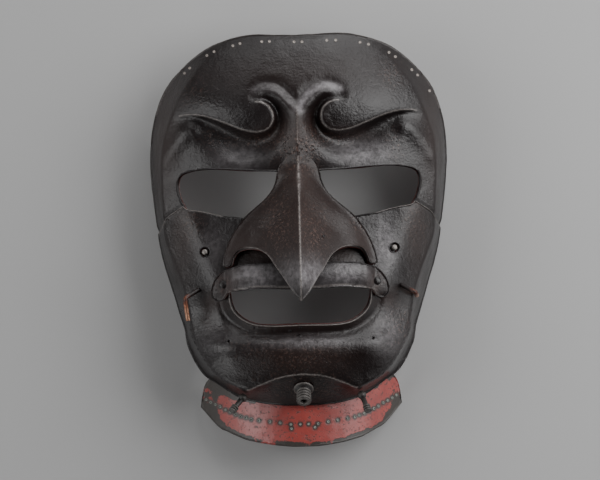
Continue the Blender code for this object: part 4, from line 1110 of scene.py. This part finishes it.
def dome_tree():
    """A rounded head on each point, turned to the point's way and sized by its size."""
    tree = bpy.data.node_groups.new("rivet heads", "GeometryNodeTree")
    given = interface(tree, [("Geometry", "NodeSocketGeometry", None),
                             ("Flatness", "NodeSocketFloat", 0.42),
                             ("Finish", "NodeSocketMaterial", None)])
    ball = add(tree, "GeometryNodeMeshUVSphere", {"Segments": 28, "Rings": 14, "Radius": MM})
    squash = add(tree, "ShaderNodeCombineXYZ", {0: 1.0, 1: 1.0, 2: given["Flatness"]})
    head = add(tree, "GeometryNodeTransform", {"Geometry": ball.outputs[0],
                                               "Scale": squash.outputs[0]})
    way = add(tree, "GeometryNodeInputNamedAttribute", {"Name": "way"}, data_type="FLOAT_VECTOR")
    size = add(tree, "GeometryNodeInputNamedAttribute", {"Name": "size"}, data_type="FLOAT")
    turn = add(tree, "FunctionNodeAlignRotationToVector", {"Vector": way.outputs[0]}, axis="Z")
    heads = add(tree, "GeometryNodeInstanceOnPoints",
                {"Points": given["Geometry"], "Instance": head.outputs[0],
                 "Rotation": turn.outputs[0], "Scale": size.outputs[0]})
    return finished(tree, heads.outputs[0], given["Finish"])


rivet_heads = dome_tree()
rivets = [("band_rivet_head_left", "band_rivet_left", band_height, OVER,
           [(-RIVET_AT[0], RIVET_AT[1], RIVET_RADIUS)]),
          ("band_rivet_head_right", "band_rivet_right", band_height, OVER,
           [(RIVET_AT[0], RIVET_AT[1], RIVET_RADIUS)]),
          ("nose_rivet_head", "nose", nose_height, 0.5, [(13.9, 2.0, 0.9)]),
          ("lip_rivet_heads", "cheek_and_chin_plate", face_height, 0.0,
           [(-0.9, -52.2, 0.8), (-7.2, -53.9, 0.9), (-1.6, -56.9, 1.3), (-28.4, -51.5, 0.7)])]
for name, node, surface, lift, places in rivets:
    seats = [seat((abs(u), v), 1 if u > 0 else -1, surface, lift) for u, v, _ in places]
    heads = grown(name, [tuple((spot + SET_DOWN) * MM) for spot, _ in seats], [], rivet_heads,
                  {"Flatness": RIVET_RISE / RIVET_RADIUS, "Finish": russet_black},
                  {"way": ("FLOAT_VECTOR", [way for _, way in seats]),
                   "size": ("FLOAT", [size for _, _, size in places])})
    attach(heads, "root")
    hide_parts(node)

# Sweat spout: a short iron tube under the chin, bored through and ringed, that let the wearer's
# sweat run out of the mask. It is soldered on by its flange.
SPOUT_AT = (0.0, -88.2)
SPOUT_BORE = 2.0
SPOUT_WALL = 2.0
SPOUT_LENGTH = 10.5
SPOUT_RINGS = 4
SPOUT_BED = 0.4


def ring_tree():
    """Rings at equal steps along +Z, joined to the piece that they stand on."""
    tree = bpy.data.node_groups.new("rings round a fitting", "GeometryNodeTree")
    given = interface(tree, [("Geometry", "NodeSocketGeometry", None),
                             ("First", "NodeSocketFloat", 0.002), ("Step", "NodeSocketFloat", 0.002),
                             ("Rings", "NodeSocketInt", 4), ("Reach", "NodeSocketFloat", 0.004),
                             ("Bead", "NodeSocketFloat", 0.0007),
                             ("Finish", "NodeSocketMaterial", None)])
    start = add(tree, "ShaderNodeCombineXYZ", {2: given["First"]})
    step = add(tree, "ShaderNodeCombineXYZ", {2: given["Step"]})
    row = add(tree, "GeometryNodeMeshLine", {"Count": given["Rings"],
                                             "Start Location": start.outputs[0],
                                             "Offset": step.outputs[0]}, mode="OFFSET")
    path = add(tree, "GeometryNodeCurvePrimitiveCircle", {"Resolution": 40,
                                                          "Radius": given["Reach"]})
    bead = add(tree, "GeometryNodeCurvePrimitiveCircle", {"Resolution": 12,
                                                          "Radius": given["Bead"]})
    ring = add(tree, "GeometryNodeCurveToMesh", {"Curve": path.outputs[0],
                                                 "Profile Curve": bead.outputs[0]})
    rings = add(tree, "GeometryNodeInstanceOnPoints", {"Points": row.outputs[0],
                                                       "Instance": ring.outputs[0]})
    return finished(tree, rings.outputs[0], given["Finish"])


def ringed(name, profile, rings, spot, way, material):
    """A turned fitting with beads round it, set in its place."""
    made = fitted(name, *lathe(profile), spot, way, material)
    beads = grown(name + "_beads", [(0, 0, 0)], [], fitting_rings, {**rings, "Finish": material})
    turn = Vector(way).to_track_quat("Z", "X").to_matrix().to_4x4()
    turn.translation = Vector((spot + SET_DOWN) * MM)
    beads.data.transform(turn)
    both = bmesh.new()
    both.from_mesh(made.data)
    both.from_mesh(beads.data)
    both.to_mesh(made.data)
    both.free()
    bpy.data.objects.remove(beads)
    return made


fitting_rings = ring_tree()
spout_radius = SPOUT_BORE + SPOUT_WALL
spout_profile = [(SPOUT_BORE, 0.0), (spout_radius + 2, 0.0), (spout_radius + 1.9, 0.5),
                 (spout_radius + 1.2, 0.9), (spout_radius, 1.8), (spout_radius - 0.4, 2.2),
                 (spout_radius - 0.4, SPOUT_LENGTH - 0.4), (spout_radius - 0.8, SPOUT_LENGTH),
                 (SPOUT_BORE + 0.3, SPOUT_LENGTH), (SPOUT_BORE, SPOUT_LENGTH - 0.3),
                 (SPOUT_BORE, 0.0)]
fitting_iron = blackened_iron("fire_blackened_iron", 0.8)
spout = ringed("sweat_spout_ringed", spout_profile,
               {"First": 3.1 * MM, "Step": 2.1 * MM, "Rings": SPOUT_RINGS,
                "Reach": (spout_radius - 0.3) * MM, "Bead": 0.75 * MM},
               *seat(SPOUT_AT, 1, lift=GAP + SPOUT_BED), fitting_iron)
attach(spout, "root")
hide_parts("sweat_spout")

# Cord pegs: two turned iron pegs under the jaw for the chin cord, each a ball foot, a shaft and
# a beaded end.
PEG_AT = (34.4, -90.4)
PEG_RADIUS = 1.6
PEG_LENGTH = 14.5
PEG_BOSS = 2.6
PEG_WAY = {"left": (0.57, -0.65, 0.50), "right": (0.31, -0.81, 0.50)}
boss = [(PEG_BOSS * math.sin(turn), PEG_BOSS * (1 - math.cos(turn)))
        for turn in np.linspace(0, 0.8 * math.pi, 12)]
peg_profile = [(0, 0)] + boss[1:] + [(PEG_RADIUS, 2 * PEG_BOSS + 0.2),
                                     (PEG_RADIUS - 0.2, PEG_LENGTH - 4.5),
                                     (PEG_RADIUS, PEG_LENGTH - 0.3),
                                     (PEG_RADIUS - 0.3, PEG_LENGTH), (0, PEG_LENGTH)]
for side, sign in SIDES.items():
    middle, _ = seat(PEG_AT, sign, lift=PEG_BOSS + 2 * GAP)
    way = np.array(PEG_WAY[side]) * (sign, 1, 1)
    way /= np.linalg.norm(way)
    peg = ringed("cord_peg_turned_" + side, peg_profile,
                 {"First": (PEG_LENGTH - 3.6) * MM, "Step": 1.5 * MM, "Rings": 3,
                  "Reach": (PEG_RADIUS + 0.2) * MM, "Bead": 0.6 * MM},
                 middle - way * PEG_BOSS, way, fitting_iron)
    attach(peg, "root")
    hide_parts("cord_peg_" + side)

# Cord hooks: bent wire for the cheek cords, once lacquered, rubbed to copper where cord ran. The
# right one has been turned back.
HOOK_AT = (60.5, -28.6)
HOOK_ARM_WAY = (0.72, -0.40, 0.57)
HOOK_LEG_WAY = {"left": (-0.12, -0.95, -0.29), "right": (0.05, -0.12, -0.99)}
HOOK_RADIUS = 1.5
HOOK_WIRE = 1.35            # the wire as it shows, rubbed a little thinner than HOOK_RADIUS
HOOK_ARM = 11.5
HOOK_LEG = 14.0
HOOK_BEND = 2.6
HOOK_FOOT = 1.5             # how far its foot goes into the plate
WIRE_TONES = [(0.36, "#1a1211"), (0.55, "#4a261c"), (0.75, "#9c6650"), (0.95, "#c79a80")]


def wire_tree():
    """Round wire along a path, which keeps how far along it each of its corners is."""
    tree = bpy.data.node_groups.new("bent wire", "GeometryNodeTree")
    given = interface(tree, [("Geometry", "NodeSocketGeometry", None),
                             ("Wire", "NodeSocketFloat", 0.0012),
                             ("Finish", "NodeSocketMaterial", None)])
    path = add(tree, "GeometryNodeMeshToCurve", {"Mesh": given["Geometry"]})
    run = add(tree, "GeometryNodeSplineParameter").outputs["Length"]
    measured = add(tree, "GeometryNodeStoreNamedAttribute",
                   {"Geometry": path.outputs[0], "Name": "run", "Value": run}, data_type="FLOAT",
                   domain="POINT")
    wire = add(tree, "GeometryNodeCurvePrimitiveCircle", {"Resolution": 16,
                                                          "Radius": given["Wire"]})
    tube = add(tree, "GeometryNodeCurveToMesh", {"Curve": measured.outputs[0],
                                                 "Profile Curve": wire.outputs[0],
                                                 "Fill Caps": True})
    return finished(tree, tube.outputs[0], given["Finish"])


def worn_copper_wire():
    """Drawn copper wire under old lacquer, rubbed by the cord.

    The eye sees near-black at the foot, red where the lacquer is thin, and warm bare copper
    further along, most of it from 20 mm on.
    """
    made, tree, at, mark = blank_material("lacquered_copper_wire", ("run",))
    patch = add(tree, "ShaderNodeTexNoise", {"Vector": at, "Scale": 1 / (2.4 * MM), "Detail": 4.0,
                                             "Roughness": 0.6}).outputs["Fac"]
    far = add(tree, "ShaderNodeMapRange", {0: mark["run"], 1: 4 * MM, 2: 20 * MM, 3: -0.25,
                                           4: 0.42}).outputs[0]
    bare = add(tree, "ShaderNodeMath", {0: patch, 1: far}, operation="ADD").outputs[0]
    tone = add(tree, "ShaderNodeValToRGB", {"Fac": bare}, ramp=WIRE_TONES)
    metal = add(tree, "ShaderNodeMapRange", {0: bare, 1: 0.5, 2: 0.75, 3: 0.0, 4: 0.9}).outputs[0]
    bump = add(tree, "ShaderNodeBump", {"Height": patch, "Strength": 0.5, "Distance": 0.2 * MM})
    shader = add(tree, "ShaderNodeBsdfPrincipled",
                 {"Base Color": tone.outputs["Color"], "Roughness": 0.42, "Metallic": metal,
                  "Normal": bump.outputs[0]})
    add(tree, "ShaderNodeOutputMaterial", {"Surface": shader.outputs[0]})
    return made


def hook_route(spot, arm, leg):
    """Straight arm, round bend and straight leg."""
    corner = spot + arm * HOOK_ARM
    start, end, tip = corner - arm * HOOK_BEND, corner + leg * HOOK_BEND, corner + leg * HOOK_LEG
    bend = [start * (1 - t) ** 2 + corner * 2 * t * (1 - t) + end * t ** 2
            for t in np.linspace(0, 1, 12)]
    return [spot, (spot + start) / 2] + bend + [end + (tip - end) * t for t in (0.33, 0.66, 1.0)]


bent_wire = wire_tree()
hook_copper = worn_copper_wire()
for side, sign in SIDES.items():
    spot, _ = seat(HOOK_AT, sign, lift=GAP + HOOK_RADIUS)
    arm, leg = (np.array(way) * (sign, 1, 1) / np.linalg.norm(way)
                for way in (HOOK_ARM_WAY, HOOK_LEG_WAY[side]))
    route = hook_route(spot - arm * HOOK_FOOT, arm, leg)
    route = [tuple((place + SET_DOWN) * MM) for place in route]
    hook = grown("cord_hook_wire_" + side, route, [(i, i + 1) for i in range(len(route) - 1)],
                 bent_wire, {"Wire": HOOK_WIRE * MM, "Finish": hook_copper})
    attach(hook, "root")
    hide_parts("cord_hook_" + side)

# The studio: pale grey backdrop paper, six soft panels round the mask, the strongest at the top
# right of the picture, and a long lens straight above, turned a little as the photograph was.
PAPER = "#b4b4b4"
# Each panel's angle off the vertical, its angle clockwise from the picture's top, its distance
# and size in metres, and its watts.
PANELS = {"key": (50, 64, 0.95, 0.75, 8.3), "window_above": (72, 14, 1.3, 0.8, 7.5),
          "upper_left": (66, -24, 1.8, 0.8, 4), "right_side": (68, 108, 1.5, 0.7, 4),
          "left_fill": (58, -88, 1.8, 1.2, 13), "foot_fill": (74, -140, 1.8, 0.8, 6)}
ROOM, ROOM_LIGHT = "#c8c8c8", 0.05
LENS, SENSOR = 900, 36      # mm
CAMERA_AT, CAMERA_ROLL = (0, 0, 9), -1.4


def soft_light(name, off_vertical, round_from_top, away, size, power):
    """A square panel facing the mask."""
    tilt, turn = math.radians(off_vertical), math.radians(round_from_top)
    way = Vector((math.sin(tilt) * math.sin(turn), math.sin(tilt) * math.cos(turn),
                  math.cos(tilt)))
    lamp = bpy.data.lights.new(name, "AREA")
    lamp.shape, lamp.size, lamp.energy = "SQUARE", size, power
    panel = placed(name, lamp)
    panel.location = way * away
    panel.rotation_euler = (-way).to_track_quat("-Z", "Y").to_euler()
    panel.visible_camera = False


paper = bpy.data.materials.new("grey_backdrop_paper")
paper.use_nodes = True
paper.node_tree.nodes["Principled BSDF"].inputs["Base Color"].default_value = colour(PAPER)
paper.node_tree.nodes["Principled BSDF"].inputs["Roughness"].default_value = 0.9
floor_mesh = bpy.data.meshes.new("floor")
floor_mesh.from_pydata([(-3, -3, 0), (3, -3, 0), (3, 3, 0), (-3, 3, 0)], [], [(0, 1, 2, 3)])
floor_mesh.materials.append(paper)
placed("floor", floor_mesh)

for name, settings in PANELS.items():
    soft_light(name, *settings)
world = bpy.data.worlds.new("studio")
world.use_nodes = True
world.node_tree.nodes["Background"].inputs["Color"].default_value = colour(ROOM)
world.node_tree.nodes["Background"].inputs["Strength"].default_value = ROOM_LIGHT
bpy.context.scene.world = world

optics = bpy.data.cameras.new("camera")
optics.lens, optics.sensor_width = LENS, SENSOR
camera = placed("camera", optics)
camera.location = CAMERA_AT
camera.rotation_euler = (0, 0, math.radians(CAMERA_ROLL))
bpy.context.scene.camera = camera
